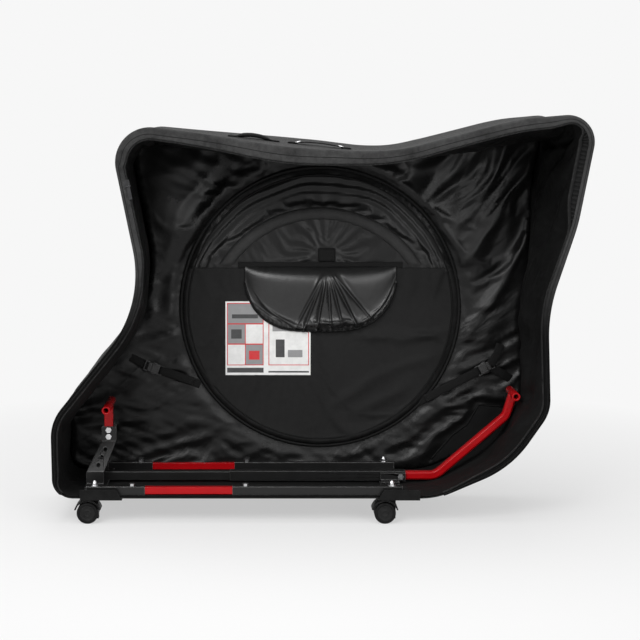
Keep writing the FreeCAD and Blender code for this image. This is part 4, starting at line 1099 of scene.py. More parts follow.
def make_welt():
    """The dark welt between the border's two strips, a little uneven."""
    path = []
    for point, into in rim_points(0.006):
        share = 0.52 + 0.16 * ripple(point.x, 0.0, point.y, 5.0, 4.2)
        share += (0.30 - share) * slider_stretch(*point)
        path.append(rim_place(point, into, share * border_width(*point), 0.0010))
    return tube("border_welt", path, 0.0011, PIPING, sides=6)


def make_ruche():
    """The gathered strip at the upper front: close pleats across it."""
    path = [(point, into) for point, into in rim_points(0.0015) if ruche_width(*point) > 0.0015]
    rows = []
    for row in range(9):
        share = row / 8
        line = []
        for index, (point, into) in enumerate(path):
            pleat = math.sin(0.95 * index + 2.2 * ripple(point.x, 0.0, point.y, 40.0, 6.6) + 1.2 * share)
            deep = 0.0026 * math.sin(math.pi * (0.08 + 0.84 * share)) * pleat
            reach = border_width(*point) - 0.002 + share * (ruche_width(*point) + 0.003)
            line.append(rim_place(point, into, reach, -0.0016 + deep - 0.004 * share))
        rows.append(line)
    strip_piece = sheet_of_rows("gathered_front_strip", rows, TAPE_CLOTH)
    thickened(strip_piece, TAPE_THICKNESS, offset=0.0)
    return strip_piece


def make_teeth(path):
    """Moulded zip teeth along the tape's free edge, each with a waist and a rounded head."""
    rail = rim_row(path, 0.0032, -0.0012, zip_reach)
    points = []
    faces = []
    for index, centre, along in spaced(rail, TOOTH_PITCH):
        into = path[index][1]
        faces += bead_faces(len(points), len(TOOTH_SECTIONS), 4)
        for reach, half in TOOTH_SECTIONS:
            middle = centre + Vector((into.x, 0.0, into.y)) * reach
            for side, lift in ((-1, -1), (1, -1), (1, 1), (-1, 1)):
                points.append(middle + along * (side * half * 0.0011) + TO_OPENING * (lift * half * 0.0022))
    return face_outwards(make_piece("zip_teeth", points, faces, TEETH_PLASTIC, smooth=False))


def make_edge_piping():
    """Piping on the seam between the gusset and the back panel."""
    loop = rounded_outline(0.008, -0.001)
    path = []
    for index, (x, z) in enumerate(loop):
        into = inward(loop, index)
        place = relaxed(Vector((x, far_y(z) - SHELL_EDGE * 0.45, z)))
        path.append(place + Vector((into.x, 0.0, into.y)) * 0.0035)
    return tube("back_seam_piping", path, 0.0026, PIPING, closed=True)


# Build the soft case
shell = make_shell()
back_lining, side_lining = make_lining()
for lining in (back_lining, side_lining):
    subdivided(lining)
    thickened(lining, LINING_THICKNESS, offset=0.0)
border, zip_tape, outer_stitches, inner_stitches, rim_path = make_border()
border_welt = make_welt()
front_ruche = make_ruche()
zip_teeth = make_teeth(rim_path)
seam_piping = make_edge_piping()

dress(shell)
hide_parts("far_side_panel", "rear_gusset", "top_gusset", "front_gusset", "floor_panel")
dress(back_lining)
dress(side_lining)
dress(border)
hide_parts("rim_border")
dress(border_welt)
dress(front_ruche)
dress(zip_tape)
dress(zip_teeth)
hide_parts("zip_chain")
dress(outer_stitches)
dress(inner_stitches)
dress(seam_piping)

# Wheel pocket: covers with folds, padded ring, band, pouch and card
COVER_CELL = 0.0075
COVER_THICKNESS = 0.0012
COVER_RADIUS = 0.342
COVER_ROLL = 0.016
RING_CENTRE = Vector((0.017, 0.421))
RING_RADIUS = 0.278
RING_HALF = 0.014
RING_LIFT = 0.010
HUB = Vector((0.0325, 0.597))
LOWER_TOP = 0.566
LOWER_LIFT = 0.002
CARD_BOX = (-0.217, 0.301, -0.007, 0.483)


def disc_part(radius, level, upper, spacing):
    """The part of the pocket's disc above or below a level, as a clockwise loop."""
    lean = math.asin((level - POCKET.y) / radius)
    start, end = (math.pi - lean, lean) if upper else (lean, -math.pi - lean)
    arc = arc_points(POCKET, radius, start, end, spacing)
    steps = round((arc[0] - arc[-1]).length / spacing)
    return arc + [arc[-1].lerp(arc[0], step / steps) for step in range(1, steps)]


def rolled(x, z):
    """How much a cover drops where it rolls over the pocket's edge."""
    edge = ((Vector((x, z)) - POCKET).length - (COVER_RADIUS - COVER_ROLL)) / COVER_ROLL
    edge = min(1.0, max(0.0, edge))
    return 0.011 * (1 - math.sqrt(1 - edge * edge))


def upper_depth(x, z):
    """The upper cover: folds run out from the hub patch, slack rolls lie along the pocket's edge."""
    offset = Vector((x, z)) - HUB
    angle = math.atan2(offset.y, offset.x)
    near_hub = math.exp(-(offset.length / 0.12) ** 2) * smooth_step(0.018, 0.045, offset.length)
    fold = 0.0030 * near_hub * math.cos(19 * angle + 2.5 * ripple(x, 0.0, z, 14.0, 2.2))
    from_centre = (Vector((x, z)) - POCKET).length
    outer = smooth_step(0.27, 0.30, from_centre) * (1 - smooth_step(0.325, 0.338, from_centre))
    fold += 0.0032 * outer * math.cos(from_centre * 330 + 5.0 * ripple(x, 0.0, z, 7.0, 0.4))
    return POCKET_DEPTH - rolled(x, z) + fold


def under_ring(x, z):
    return abs((Vector((x, z)) - RING_CENTRE).length - RING_RADIUS) < RING_HALF + 0.002


def upper_held(x, z):
    patch = abs(x - HUB.x) < 0.023 and abs(z - HUB.y) < 0.019
    return patch or under_ring(x, z)


LOWER_FOLDS = (
    ((0.105, 0.405), (0.220, 0.391), 0.0050, 0.010),
    ((0.205, 0.385), (0.325, 0.405), 0.0055, 0.009),
    ((0.195, 0.411), (0.335, 0.385), 0.0040, 0.008),
    ((0.035, 0.228), (0.190, 0.313), 0.0040, 0.015),
    ((0.095, 0.203), (0.240, 0.275), 0.0035, 0.013),
    ((0.185, 0.313), (0.305, 0.348), 0.0030, 0.014),
    ((-0.245, 0.263), (-0.230, 0.463), 0.0025, 0.020),
)


def on_card(x, z, margin=0.008):
    low_x, low_z, high_x, high_z = CARD_BOX
    return low_x - margin < x < high_x + margin and low_z - margin < z < high_z + margin


def lower_depth(x, z):
    """The lower cover: a few long shallow folds."""
    bent_x = x + 0.010 * ripple(x, 0.0, z, 12.0, 8.1)
    bent_z = z + 0.010 * ripple(x, 0.0, z, 12.0, 6.4)
    folds = sum(ridge(bent_x, bent_z, *fold) for fold in LOWER_FOLDS)
    if on_card(x, z, 0.0):
        folds = 0.0
    return POCKET_DEPTH + LOWER_LIFT - rolled(x, z) + folds


def soft_cover(name, loop, depth, is_held, slack, material, most):
    """A sewn-down cover that comes to rest with its slack in folds."""
    filled, triangles, sources = fill_loop(loop, COVER_CELL)
    points = [on_panel(x, z, depth(x, z)) for x, z in filled]
    held = {}
    for index, (x, z) in enumerate(filled):
        if 0 <= sources[index] < len(loop) or is_held(x, z):
            held[index] = 1.0
    cover = make_piece(name, points, triangles, material, [(x, z) for x, z in filled])
    settle_cloth(cover, held, [slack(x, z) for x, z in filled], frames=22, mass=0.15, bending=0.15)
    for index, vertex in enumerate(cover.data.vertices):
        move = vertex.co - points[index]
        vertex.co = points[index] + move * min(1.0, most / max(move.length, 1e-6))
    return cover


def make_ring():
    lean = math.asin((LOWER_TOP - 0.015 - RING_CENTRE.y) / RING_RADIUS)
    angles = [math.pi - lean + (2 * lean - math.pi) * step / 120 for step in range(121)]
    rows = []
    for row in range(13):
        across = -1 + 2 * row / 12
        lift = RING_LIFT * math.sqrt(max(0.0, 1 - across * across)) ** 1.2
        line = []
        for angle in angles:
            way = Vector((math.cos(angle), math.sin(angle)))
            x, z = RING_CENTRE + way * (RING_RADIUS + across * RING_HALF)
            tucked = smooth_step(LOWER_TOP + 0.014, LOWER_TOP - 0.002, z)
            pad = 0.0008 * ripple(x, 0.0, z, 30.0, 9.3)
            depth = POCKET_DEPTH - 0.001 - 0.004 * tucked + (lift + pad) * (1 - 0.9 * tucked)
            line.append(on_panel(x, z, depth))
        rows.append(line)
    ring = sheet_of_rows("padded_ring", rows, RING_CLOTH)
    subdivided(ring)
    thickened(ring, 0.0015, offset=1.0)
    return ring


STRAP_CROWN = 0.0004


def strip(name, path, sides, width, thickness):
    """A flat strap along a path; sides point across it."""
    rows = []
    for share in (-0.5, -0.46, -0.25, 0.0, 0.25, 0.46, 0.5):
        line = []
        for index, point in enumerate(path):
            before = path[max(0, index - 1)]
            after = path[min(len(path) - 1, index + 1)]
            along = (after - before).normalized()
            up = sides[index].cross(along).normalized()
            drop = thickness * 0.35 if abs(share) == 0.5 else 0.0
            rise = STRAP_CROWN * (1 - 4 * share * share) - drop
            line.append(point + sides[index] * (width * share) + up * rise)
        rows.append(line)
    piece = sheet_of_rows(name, rows, WEBBING)
    thickened(piece, thickness, offset=0.0)
    return piece


def panel_strip(name, knots, width, thickness):
    """A strap over the far panel along straight runs of (x, z, depth) knots, with a slight wave."""
    steps = 14
    path = []
    for start, end in zip(knots, knots[1:]):
        for step in range(steps):
            x, z, depth = Vector(start).lerp(Vector(end), step / steps)
            path.append(on_panel(x, z, depth + 0.001 * ripple(x, 0.0, z, 25.0, 1.9)))
    path.append(on_panel(*knots[-1]))
    sides = []
    for index in range(len(path)):
        before = path[max(0, index - 1)]
        after = path[min(len(path) - 1, index + 1)]
        sides.append((after - before).normalized().cross(Vector((0.0, -1.0, SLOPE))).normalized())
    return strip(name, path, sides, width, thickness)


POUCH_X = 0.017
POUCH_TOP = 0.5685
POUCH_HALF = 0.189
POUCH_DROP = 0.158
POUCH_BULGE = 0.033
POUCH_BACK = 0.0300
POUCH_FOLDS = (-27, -20, -9, 4, 15, 27, 40)


def pouch_hem(share):
    """The hem's height across the pouch, from -1 to 1."""
    return POUCH_TOP - POUCH_DROP * (1 - abs(share) ** 3.2) ** (1 / 2.2)


def pouch_folds(x, z, height, width):
    """Folds that fan out downwards from the middle of the band, each with a valley beside its crest."""
    offset = Vector((x - HUB.x, z - STRAP_Z))
    below = math.degrees(math.atan2(offset.x, -offset.y))
    grown = smooth_step(0.01, 0.06, offset.length)
    total = 0.0
    for number, angle in enumerate(POUCH_FOLDS):
        apart = math.radians(below - angle) * offset.length
        crest = math.exp(-(apart / width) ** 2) - 0.5 * math.exp(-((apart - 1.7 * width) / width) ** 2)
        total += height * (1 + 0.3 * (number % 3)) * crest * grown
    return total


def make_pouch():
    columns = 110
    rows = 44
    points = []
    uvs = []
    held = {}
    slack = []
    for row in range(rows + 1):
        down = row / rows
        for column in range(columns + 1):
            share = 0.985 * (-1 + 2 * column / columns)
            x = POUCH_X + POUCH_HALF * share
            z = POUCH_TOP + (pouch_hem(share) - POUCH_TOP) * down
            round_ends = (1 - abs(share) ** 2.6) ** 0.8
            bulge = POUCH_BULGE * round_ends * math.sin(math.pi * (0.03 + 0.93 * down ** 0.6))
            ruffle = math.cos(95 * share + 6 * ripple(x, 0, 0, 20.0, 3.0))
            depth = POUCH_BACK + bulge + pouch_folds(x, z, 0.0045, 0.0045) * (1 - share ** 4)
            depth += 0.0025 * smooth_step(0.85, 1.0, down) * ruffle
            points.append(on_panel(x, z, depth))
            uvs.append((x, z))
            if row == 0 or column in (0, columns):
                held[len(points) - 1] = 1.0
            elif row == rows:
                held[len(points) - 1] = 0.9
            slack.append(0.35 + 0.5 * math.exp(-((x - 0.055) / 0.07) ** 2))
    width = columns + 1
    faces = turned(grid_faces(rows + 1, width))
    pouch = make_piece("gathered_wheel_pouch", points, faces, POUCH_CLOTH, uvs)
    settle_cloth(pouch, held, slack, frames=24, mass=0.15, bending=0.12)
    for index, vertex in enumerate(pouch.data.vertices):
        move = vertex.co - points[index]
        down = index // width / rows
        aside = abs(2 * (index % width) / columns - 1)
        most = 0.001 + 0.009 * smooth_step(0.1, 0.7, down) * (1 - aside ** 4)
        vertex.co = points[index] + move * min(1.0, most / max(move.length, 1e-6))
    hem_line = [pouch.data.vertices[rows * width + column].co.copy() for column in range(width)]
    flat = area_of(pouch)
    subdivided(pouch)
    for vertex in pouch.data.vertices:
        vertex.co.y -= pouch_folds(vertex.co.x, vertex.co.z, 0.0026, 0.0024)
    thickened(pouch, COVER_THICKNESS)
    hem = tube("pouch_hem", hem_line, 0.0034, PIPING)
    return pouch, hem, flat


CARD_WIDTH = 0.210
CARD_HEIGHT = 0.182
CARD_THICKNESS = 0.0006
# Blocks on the card: two corners and the number of the card's colour, later blocks over earlier ones
CARD_BLOCKS = (
    (0.004, 0.024, 0.094, 0.178, 1),
    (0.006, 0.128, 0.092, 0.176, 2),
    (0.006, 0.078, 0.048, 0.125, 2),
    (0.050, 0.078, 0.092, 0.125, 0),
    (0.006, 0.026, 0.048, 0.075, 0),
    (0.050, 0.026, 0.092, 0.075, 2),
    (0.014, 0.090, 0.040, 0.113, 3),
    (0.058, 0.038, 0.084, 0.060, 1),
    (0.016, 0.140, 0.080, 0.150, 3),
    (0.106, 0.024, 0.206, 0.178, 1),
    (0.108, 0.026, 0.204, 0.176, 0),
    (0.116, 0.108, 0.196, 0.166, 2),
    (0.124, 0.044, 0.146, 0.088, 3),
    (0.154, 0.044, 0.190, 0.062, 2),
    (0.004, 0.006, 0.094, 0.018, 3),
    (0.106, 0.006, 0.206, 0.010, 3),
)


def make_card():
    """A printed card of plain blocks, one mesh cut along the blocks' edges."""
    across = {CARD_WIDTH * step / 24 for step in range(25)}
    upwards = {CARD_HEIGHT * step / 20 for step in range(21)}
    for low_x, low_z, high_x, high_z, _ in CARD_BLOCKS:
        across.update((low_x, high_x))
        upwards.update((low_z, high_z))
    xs = sorted(across)
    zs = sorted(upwards)
    points = []
    for z in zs:
        for x in xs:
            curl = 0.0016 * (2 * x / CARD_WIDTH - 1) ** 2 * (0.4 + z / CARD_HEIGHT)
            depth = POCKET_DEPTH + LOWER_LIFT + 0.0012 + curl
            points.append(on_panel(CARD_BOX[0] + x, CARD_BOX[1] + z, depth))
    kinds = []
    for row in range(len(zs) - 1):
        for column in range(len(xs) - 1):
            middle_x = (xs[column] + xs[column + 1]) / 2
            middle_z = (zs[row] + zs[row + 1]) / 2
            kind = 0
            for low_x, low_z, high_x, high_z, block in CARD_BLOCKS:
                if low_x < middle_x < high_x and low_z < middle_z < high_z:
                    kind = block
            kinds.append(kind)
    card = make_piece("printed_card", points, grid_faces(len(zs), len(xs)), CARD_WHITE, smooth=False)
    for material in (CARD_RED, CARD_GREY, CARD_DARK):
        card.data.materials.append(material)
    for polygon in card.data.polygons:
        polygon.material_index = kinds[polygon.index]
    thickened(card, CARD_THICKNESS)
    return card


def make_hub_patch():
    rows = []
    for row in range(13):
        z = HUB.y - 0.0165 + 0.033 * row / 12
        line = []
        for column in range(15):
            x = HUB.x - 0.021 + 0.042 * column / 14
            edge = min(row, 12 - row, column, 14 - column)
            lift = (0.0008, 0.0030, 0.0034, 0.0038)[min(edge, 3)]
            line.append(on_panel(x, z, POCKET_DEPTH + lift))
        rows.append(line)
    patch = sheet_of_rows("hub_patch_webbing", rows, WEBBING)
    subdivided(patch)
    thickened(patch, 0.001, offset=1.0)
    return patch


def make_corner_patch():
    """The smooth lower front panel with a piped seam."""
    loop = rounded_outline(0.010, 0.008)
    corner = [point for point in loop if point.x > 0.282 and point.y < 0.220]
    seam = [Vector(point) for point in CORNER_SEAM]
    edge = []
    for start, end in zip(seam, seam[1:]):
        steps = max(1, round((end - start).length / 0.010))
        edge += [start.lerp(end, step / steps) for step in range(steps)]
    outline = edge + corner
    filled, triangles, _ = fill_loop(outline, 0.010)
    points = []
    for x, z in filled:
        points.append(on_panel(x, z, 0.0165 + 0.0016 * ripple(x, 0.0, z, 11.0, 2.7)))
    patch = make_piece("lower_front_panel", points, triangles, CORNER_CLOTH, [(x, z) for x, z in filled])
    flat = area_of(patch)
    subdivided(patch)
    thickened(patch, COVER_THICKNESS, offset=0.0)
    path = [on_panel(point.x, point.y, 0.0180) for point in edge]
    piping = tube("lower_front_piping", path, 0.0024, PIPING)
    return patch, piping, flat


def ring_tube(name, radius, depth, thickness):
    """Piping round the pocket."""
    circle = arc_points(POCKET, radius, math.pi, -math.pi, 0.008)[:-1]
    path = [on_panel(x, z, depth + 0.0006 * ripple(x, 0.0, z, 20.0, 5.1)) for x, z in circle]
    return tube(name, path, thickness, PIPING, closed=True)


upper_cover = soft_cover("pocket_upper_cover", disc_part(COVER_RADIUS, LOWER_TOP - 0.012, True, 0.010),
                         upper_depth, upper_held, lambda x, z: 0.45, COVER_CLOTH, 0.007)
lower_cover = soft_cover("pocket_lower_cover", disc_part(COVER_RADIUS, LOWER_TOP, False, 0.010),
                         lower_depth, on_card, lambda x, z: 0.12, POCKET_CLOTH, 0.004)
for cover in (upper_cover, lower_cover):
    subdivided(cover)
    thickened(cover, COVER_THICKNESS)
padded_ring = make_ring()
pocket_piping = ring_tube("pocket_edge_piping", 0.3435, 0.0155, 0.0046)
inner_piping = ring_tube("pocket_inner_piping", 0.3250, POCKET_DEPTH + 0.001, 0.0020)
BAND_RUN = ((-0.185, 0.0275), (-0.145, 0.0305), (0.017, 0.0330), (0.175, 0.0305), (0.219, 0.0275))
band = panel_strip("pocket_band", [(x, STRAP_Z, depth) for x, depth in BAND_RUN], 0.015, 0.0016)
hub_webbing = make_hub_patch()
pouch, pouch_hem_piece, pouch_flat = make_pouch()
card = make_card()
corner_patch, corner_piping, corner_flat = make_corner_patch()

dress(upper_cover)
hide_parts("wheel_pocket")
dress(lower_cover)
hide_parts("pocket_lower_panel")
dress(padded_ring)
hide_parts("pocket_ring")
dress(pocket_piping)
dress(inner_piping)
dress(band)
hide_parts("pocket_strap")
dress(hub_webbing)
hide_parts("hub_patch")
dress(pouch)
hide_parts("gathered_pouch")
dress(pouch_hem_piece)
dress(card)
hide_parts("packing_card")
dress(corner_patch)
dress(corner_piping)


# Straps over the back lining, with side-release buckles
def choose_faces(piece, wanted):
    """Go into edit mode with the faces selected that are wanted."""
    only(piece)
    bpy.ops.object.mode_set(mode="EDIT")
    bpy.ops.mesh.select_mode(type="FACE")
    bpy.ops.mesh.select_all(action="DESELECT")
    bpy.ops.object.mode_set(mode="OBJECT")
    for polygon in piece.data.polygons:
        polygon.select = wanted(polygon)
    bpy.ops.object.mode_set(mode="EDIT")


def block(size, place, edge, rim=0.0, sink=0.0):
    """A block with rounded edges; its upper face may have a sunk panel inside a rim."""
    bpy.ops.object.select_all(action="DESELECT")
    bpy.ops.mesh.primitive_cube_add(size=1.0)
    piece = bpy.context.object
    choose_faces(piece, lambda polygon: True)
    bpy.ops.transform.resize(value=size)
    bpy.ops.mesh.bevel(offset=edge, segments=3, affect="EDGES")
    bpy.ops.object.mode_set(mode="OBJECT")
    if rim:
        least = 0.2 * size[0] * size[1]
        choose_faces(piece, lambda polygon: polygon.normal.z > 0.99 and polygon.area > least)
        bpy.ops.mesh.inset(thickness=rim, depth=0.0)
        bpy.ops.mesh.inset(thickness=0.0004, depth=-sink)
        bpy.ops.object.mode_set(mode="OBJECT")
    edit_all(piece, bpy.ops.transform.translate, value=place)
    return piece


def joined(name, parts, material):
    """Join parts into one piece with smooth faces between its sharp edges."""
    bpy.ops.object.select_all(action="DESELECT")
    for part in parts:
        part.select_set(True)
    bpy.context.view_layer.objects.active = parts[0]
    bpy.ops.object.join()
    piece = bpy.context.object
    piece.name = name
    piece.data.name = name
    bpy.ops.object.shade_smooth_by_angle(angle=math.radians(35))
    piece.data.materials.clear()
    piece.data.materials.append(material)
    return piece


OFF_PANEL = Vector((0.0, -math.cos(LEAN), math.sin(LEAN)))


def lay_on_panel(piece, x, z, depth, slope):
    """Move a piece onto the far panel: its length along a slope, its height inwards."""
    up = Vector((0.0, math.sin(LEAN), math.cos(LEAN)))
    along = Vector((math.cos(slope), 0.0, 0.0)) + up * math.sin(slope)
    place = Matrix((along, OFF_PANEL.cross(along), OFF_PANEL)).transposed().to_4x4()
    place.translation = on_panel(x, z, depth)
    piece.data.transform(place)
    return piece


def make_buckle(name):
    """A side-release buckle, its socket to the left and its plug to the right."""
    parts = [block((0.021, 0.026, 0.0070), (-0.0045, 0.0, 0.0040), 0.0014, 0.0030, 0.0006),
             block((0.010, 0.0225, 0.0052), (0.0100, 0.0, 0.0036), 0.0011, 0.0022, 0.0005)]
    for side in (-1, 1):
        parts.append(block((0.012, 0.0044, 0.0046), (0.0, side * 0.0127, 0.0038), 0.0012))
        for end in (-1, 1):
            parts.append(block((0.010, 0.0034, 0.0040), (end * 0.0180, side * 0.0113, 0.0030), 0.0009))
    for end in (-1, 1):
        parts.append(block((0.0036, 0.0262, 0.0044), (end * 0.0225, 0.0, 0.0030), 0.0012))
    return joined(name, parts, BUCKLE_PLASTIC)


def strap_stitches(name, centre_x, centre_z, depth, slope, length, width):
    """A box of stitches that sews a strap's end down."""
    path = []
    for along, across in STITCH_BOX:
        x = centre_x + along * length * math.cos(slope) - across * width * math.sin(slope)
        z = centre_z + along * length * math.sin(slope) + across * width * math.cos(slope)
        path.append(on_panel(x, z, depth))
    return stitches(name, path, OFF_PANEL, *BOX_STITCH)


FRONT_SLOPE = math.atan2(0.091, 0.172)
REAR_SLOPE = math.atan2(0.041, -0.113)
STRAP_WIDTH = 0.020
STRAP_THICKNESS = 0.0014
STRAP_RUNS = (
    ("front_strap_webbing", ((0.252, 0.2275, 0.016), (0.305, 0.256, 0.0240), (0.412, 0.313, 0.0300))),
    ("front_strap_return", ((0.408, 0.312, 0.0335), (0.345, 0.278, 0.0300), (0.277, 0.2415, 0.0225))),
    ("front_strap_tail", ((0.436, 0.327, 0.0330), (0.452, 0.352, 0.0370), (0.462, 0.378, 0.0290))),
    ("front_strap_anchor", ((0.438, 0.322, 0.0300), (0.470, 0.302, 0.0240), (0.497, 0.285, 0.0125))),
    ("rear_strap_webbing", ((-0.280, 0.276, 0.016), (-0.320, 0.291, 0.0225), (-0.382, 0.313, 0.0260))),
    ("rear_strap_return", ((-0.378, 0.313, 0.0295), (-0.340, 0.300, 0.0275), (-0.296, 0.284, 0.0215))),
    ("rear_strap_anchor", ((-0.408, 0.323, 0.0265), (-0.440, 0.338, 0.0215), (-0.470, 0.353, 0.0125))),
)
straps = [panel_strip(name, knots, STRAP_WIDTH, STRAP_THICKNESS) for name, knots in STRAP_RUNS]
front_buckle = lay_on_panel(make_buckle("front_strap_buckle"), 0.424, 0.3195, 0.0280, FRONT_SLOPE)
rear_buckle = lay_on_panel(make_buckle("rear_strap_buckle"), -0.395, 0.318, 0.0240, REAR_SLOPE)
strap_ends = [strap_stitches("front_strap_stitches", 0.285, 0.2457, 0.0245, FRONT_SLOPE, 0.014, 0.014),
              strap_stitches("rear_strap_stitches", -0.302, 0.2860, 0.0232, REAR_SLOPE, 0.014, 0.014)]
for strap in straps + strap_ends:
    dress(strap)
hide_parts("inner_straps")
for buckle in (front_buckle, rear_buckle):
    dress(buckle)
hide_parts("inner_strap_buckles")

# Carrying handle and strap on top
TOP_LINE = sorted((x, z) for x, z in rounded_outline(0.004) if z > 0.80 and -0.42 < x < 0.55)
HANDLE_ENDS = (-0.206, -0.086)
TOP_STRAP_ENDS = (-0.041, 0.057)


def on_top(x, y, lift):
    """A point over the shell's top panel."""
    before = max(point for point in TOP_LINE if point[0] <= x)
    after = min(point for point in TOP_LINE if point[0] > x)
    z = before[1] + (after[1] - before[1]) * (x - before[0]) / (after[0] - before[0])
    share = (y - near_y(z)) / (far_y(z) - SHELL_EDGE - near_y(z))
    surface = Vector((x, y, z - 0.004 * math.sin(math.pi * share)))
    return relaxed(give(surface, Vector((0.0, 0.0, 1.0)))) + Vector((0.0, 0.0, lift))


def top_strip(name, start, end, width, arch, flat_share, lift):
    """Webbing over the top: flat ends and an arch between them."""
    path = []
    for step in range(49):
        share = step / 48
        rise = math.sin(math.pi * min(1.0, max(0.0, (share - flat_share) / (1 - 2 * flat_share))))
        path.append(on_top(start + (end - start) * share, 0.0, lift + arch * rise))
    return strip(name, path, [TO_OPENING] * len(path), width, 0.0020), path


def make_grip(path):
    """The handle's padded sleeve: soft rounded sections along the middle of its arch."""
    inner = path[9:40]
    rows = []
    for index, centre in enumerate(inner):
        share = index / (len(inner) - 1)
        full = min(1.0, 6 * min(share, 1 - share)) ** 0.5
        half_width = 0.0150 + 0.0015 * full
        half_height = 0.0016 + 0.0034 * full
        line = []
        for step in range(24):
            angle = 2 * math.pi * step / 24
            side = math.copysign(abs(math.cos(angle)) ** 0.7, math.cos(angle))
            high = math.copysign(abs(math.sin(angle)) ** 0.7, math.sin(angle))
            dent = 1 + 0.05 * ripple(centre.x, side, high, 60.0, 2.4)
            line.append(centre + Vector((0.0, half_width * side, half_height * high * dent)))
        rows.append(line)
    grip = sheet_of_rows("handle_grip", rows, TAPE_CLOTH, closed=True)
    close_ends(grip)
    return face_outwards(grip)


def top_box(name, centre_x, lift, length, width):
    """A box of stitches on a webbing end."""
    path = [on_top(centre_x + along * length, across * width, lift) for along, across in STITCH_BOX]
    return stitches(name, path, Vector((0.0, 0.0, 1.0)), *BOX_STITCH)


def make_top_ring(name, centre_x, tilt):
    """A bright wire ring, longer across the case than along it."""
    bpy.ops.object.select_all(action="DESELECT")
    bpy.ops.mesh.primitive_torus_add(major_radius=0.0050, minor_radius=0.0015, major_segments=48,
                                     minor_segments=12)
    ring = bpy.context.object
    for side in (-1, 1):
        choose_faces(ring, lambda polygon: polygon.center.y * side > 0.0001)
        bpy.ops.transform.translate(value=(0.0, side * 0.0105, 0.0))
        bpy.ops.object.mode_set(mode="OBJECT")
    place = Matrix.Rotation(tilt, 4, "Y")
    place.translation = on_top(centre_x, 0.0, 0.0046)
    ring.data.transform(place)
    return joined(name, [ring], STEEL)


handle_strap, handle_path = top_strip("top_handle_webbing", *HANDLE_ENDS, 0.030, 0.0065, 0.14, 0.0016)
handle_grip = make_grip(handle_path)
top_strap, _ = top_strip("top_strap_webbing", *TOP_STRAP_ENDS, 0.025, 0.003, 0.0, 0.0040)
ring_tabs = [top_strip("rear_ring_tab", -0.066, -0.043, 0.025, 0.001, 0.0, 0.0016)[0],
             top_strip("front_ring_tab", 0.059, 0.082, 0.025, 0.001, 0.0, 0.0016)[0]]
top_rings = [make_top_ring("rear_top_ring", -0.042, math.radians(-14)),
             make_top_ring("front_top_ring", 0.058, math.radians(14))]
top_stitches = [top_box("handle_rear_stitches", -0.197, 0.0030, 0.012, 0.022),
                top_box("handle_front_stitches", -0.095, 0.0030, 0.012, 0.022),
                top_box("rear_tab_stitches", -0.058, 0.0034, 0.009, 0.018),
                top_box("front_tab_stitches", 0.074, 0.0034, 0.009, 0.018)]
for piece in [handle_strap, handle_grip, top_strap] + ring_tabs + top_stitches:
    dress(piece)
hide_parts("top_handle")
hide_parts("top_strap")
for ring in top_rings:
    dress(ring)
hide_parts("top_strap_rings")

# Hub caps on the caster wheels
CAP_FACE = 0.1506
CASTER_Y = 0.130
AXLE_X = {"rear": -0.531, "front": 0.159}
AXLE_Z = 0.025
CAP_STEPS = ((0.0020, 0.0), (0.0006, -0.0005), (0.0052, 0.0), (0.0006, 0.0005), (0.0030, 0.0003),
             (0.0008, -0.0006))


def make_hub_cap():
    """A stepped disc that sits in the wheel's recess, its face upwards."""
    bpy.ops.object.select_all(action="DESELECT")
    bpy.ops.mesh.primitive_cylinder_add(vertices=40, radius=0.0172, depth=0.0014)
    cap = bpy.context.object
    choose_faces(cap, lambda polygon: polygon.normal.z > 0.9)
    for thickness, depth in CAP_STEPS:
        bpy.ops.mesh.inset(thickness=thickness, depth=depth)
    bpy.ops.object.mode_set(mode="OBJECT")
    finish_with(cap, "BEVEL", width=0.0002, segments=2, limit_method="ANGLE")
    return joined("hub_cap", [cap], HUB_PLASTIC)


first_cap = make_hub_cap()
for caster_side, side in (("near", -1), ("far", 1)):
    for end, x in AXLE_X.items():
        for face, way in (("outer", side), ("inner", -side)):
            cap = bpy.data.objects.new(f"{caster_side}_{end}_{face}_hub_cap", first_cap.data.copy())
            scene.collection.objects.link(cap)
            y = side * CASTER_Y + way * (CAP_FACE - CASTER_Y - 0.0008)
            turn = Matrix.Rotation(-way * math.pi / 2, 4, "X")
            cap.data.transform(Matrix.Translation((x, y, AXLE_Z)) @ turn)
            dress(cap, f"{caster_side}_{end}_wheel_pair")
bpy.data.objects.remove(first_cap)

# Washers under the cap nuts
STEM_X = {"rear": -0.515, "front": 0.175}
RAIL_TOP = 0.086


def make_washer(name, x, y):
    """A flat washer with a rounded edge and a raised inner land."""
    bpy.ops.object.select_all(action="DESELECT")
    bpy.ops.mesh.primitive_cylinder_add(vertices=40, radius=0.0100, depth=0.0020)
    washer = bpy.context.object
    choose_faces(washer, lambda polygon: polygon.normal.z > 0.9)
    bpy.ops.mesh.inset(thickness=0.0018, depth=0.0)
    bpy.ops.mesh.inset(thickness=0.0004, depth=0.0006)
    bpy.ops.object.mode_set(mode="OBJECT")
    finish_with(washer, "BEVEL", width=0.0004, segments=2, limit_method="ANGLE")
    washer.data.transform(Matrix.Translation((x, y, RAIL_TOP + 0.0010)))
    return joined(name, [washer], STEEL)


for end, x in STEM_X.items():
    for caster_side, y in (("near", -CASTER_Y), ("far", CASTER_Y)):
        dress(make_washer(f"{caster_side}_{end}_nut_washer", x, y))

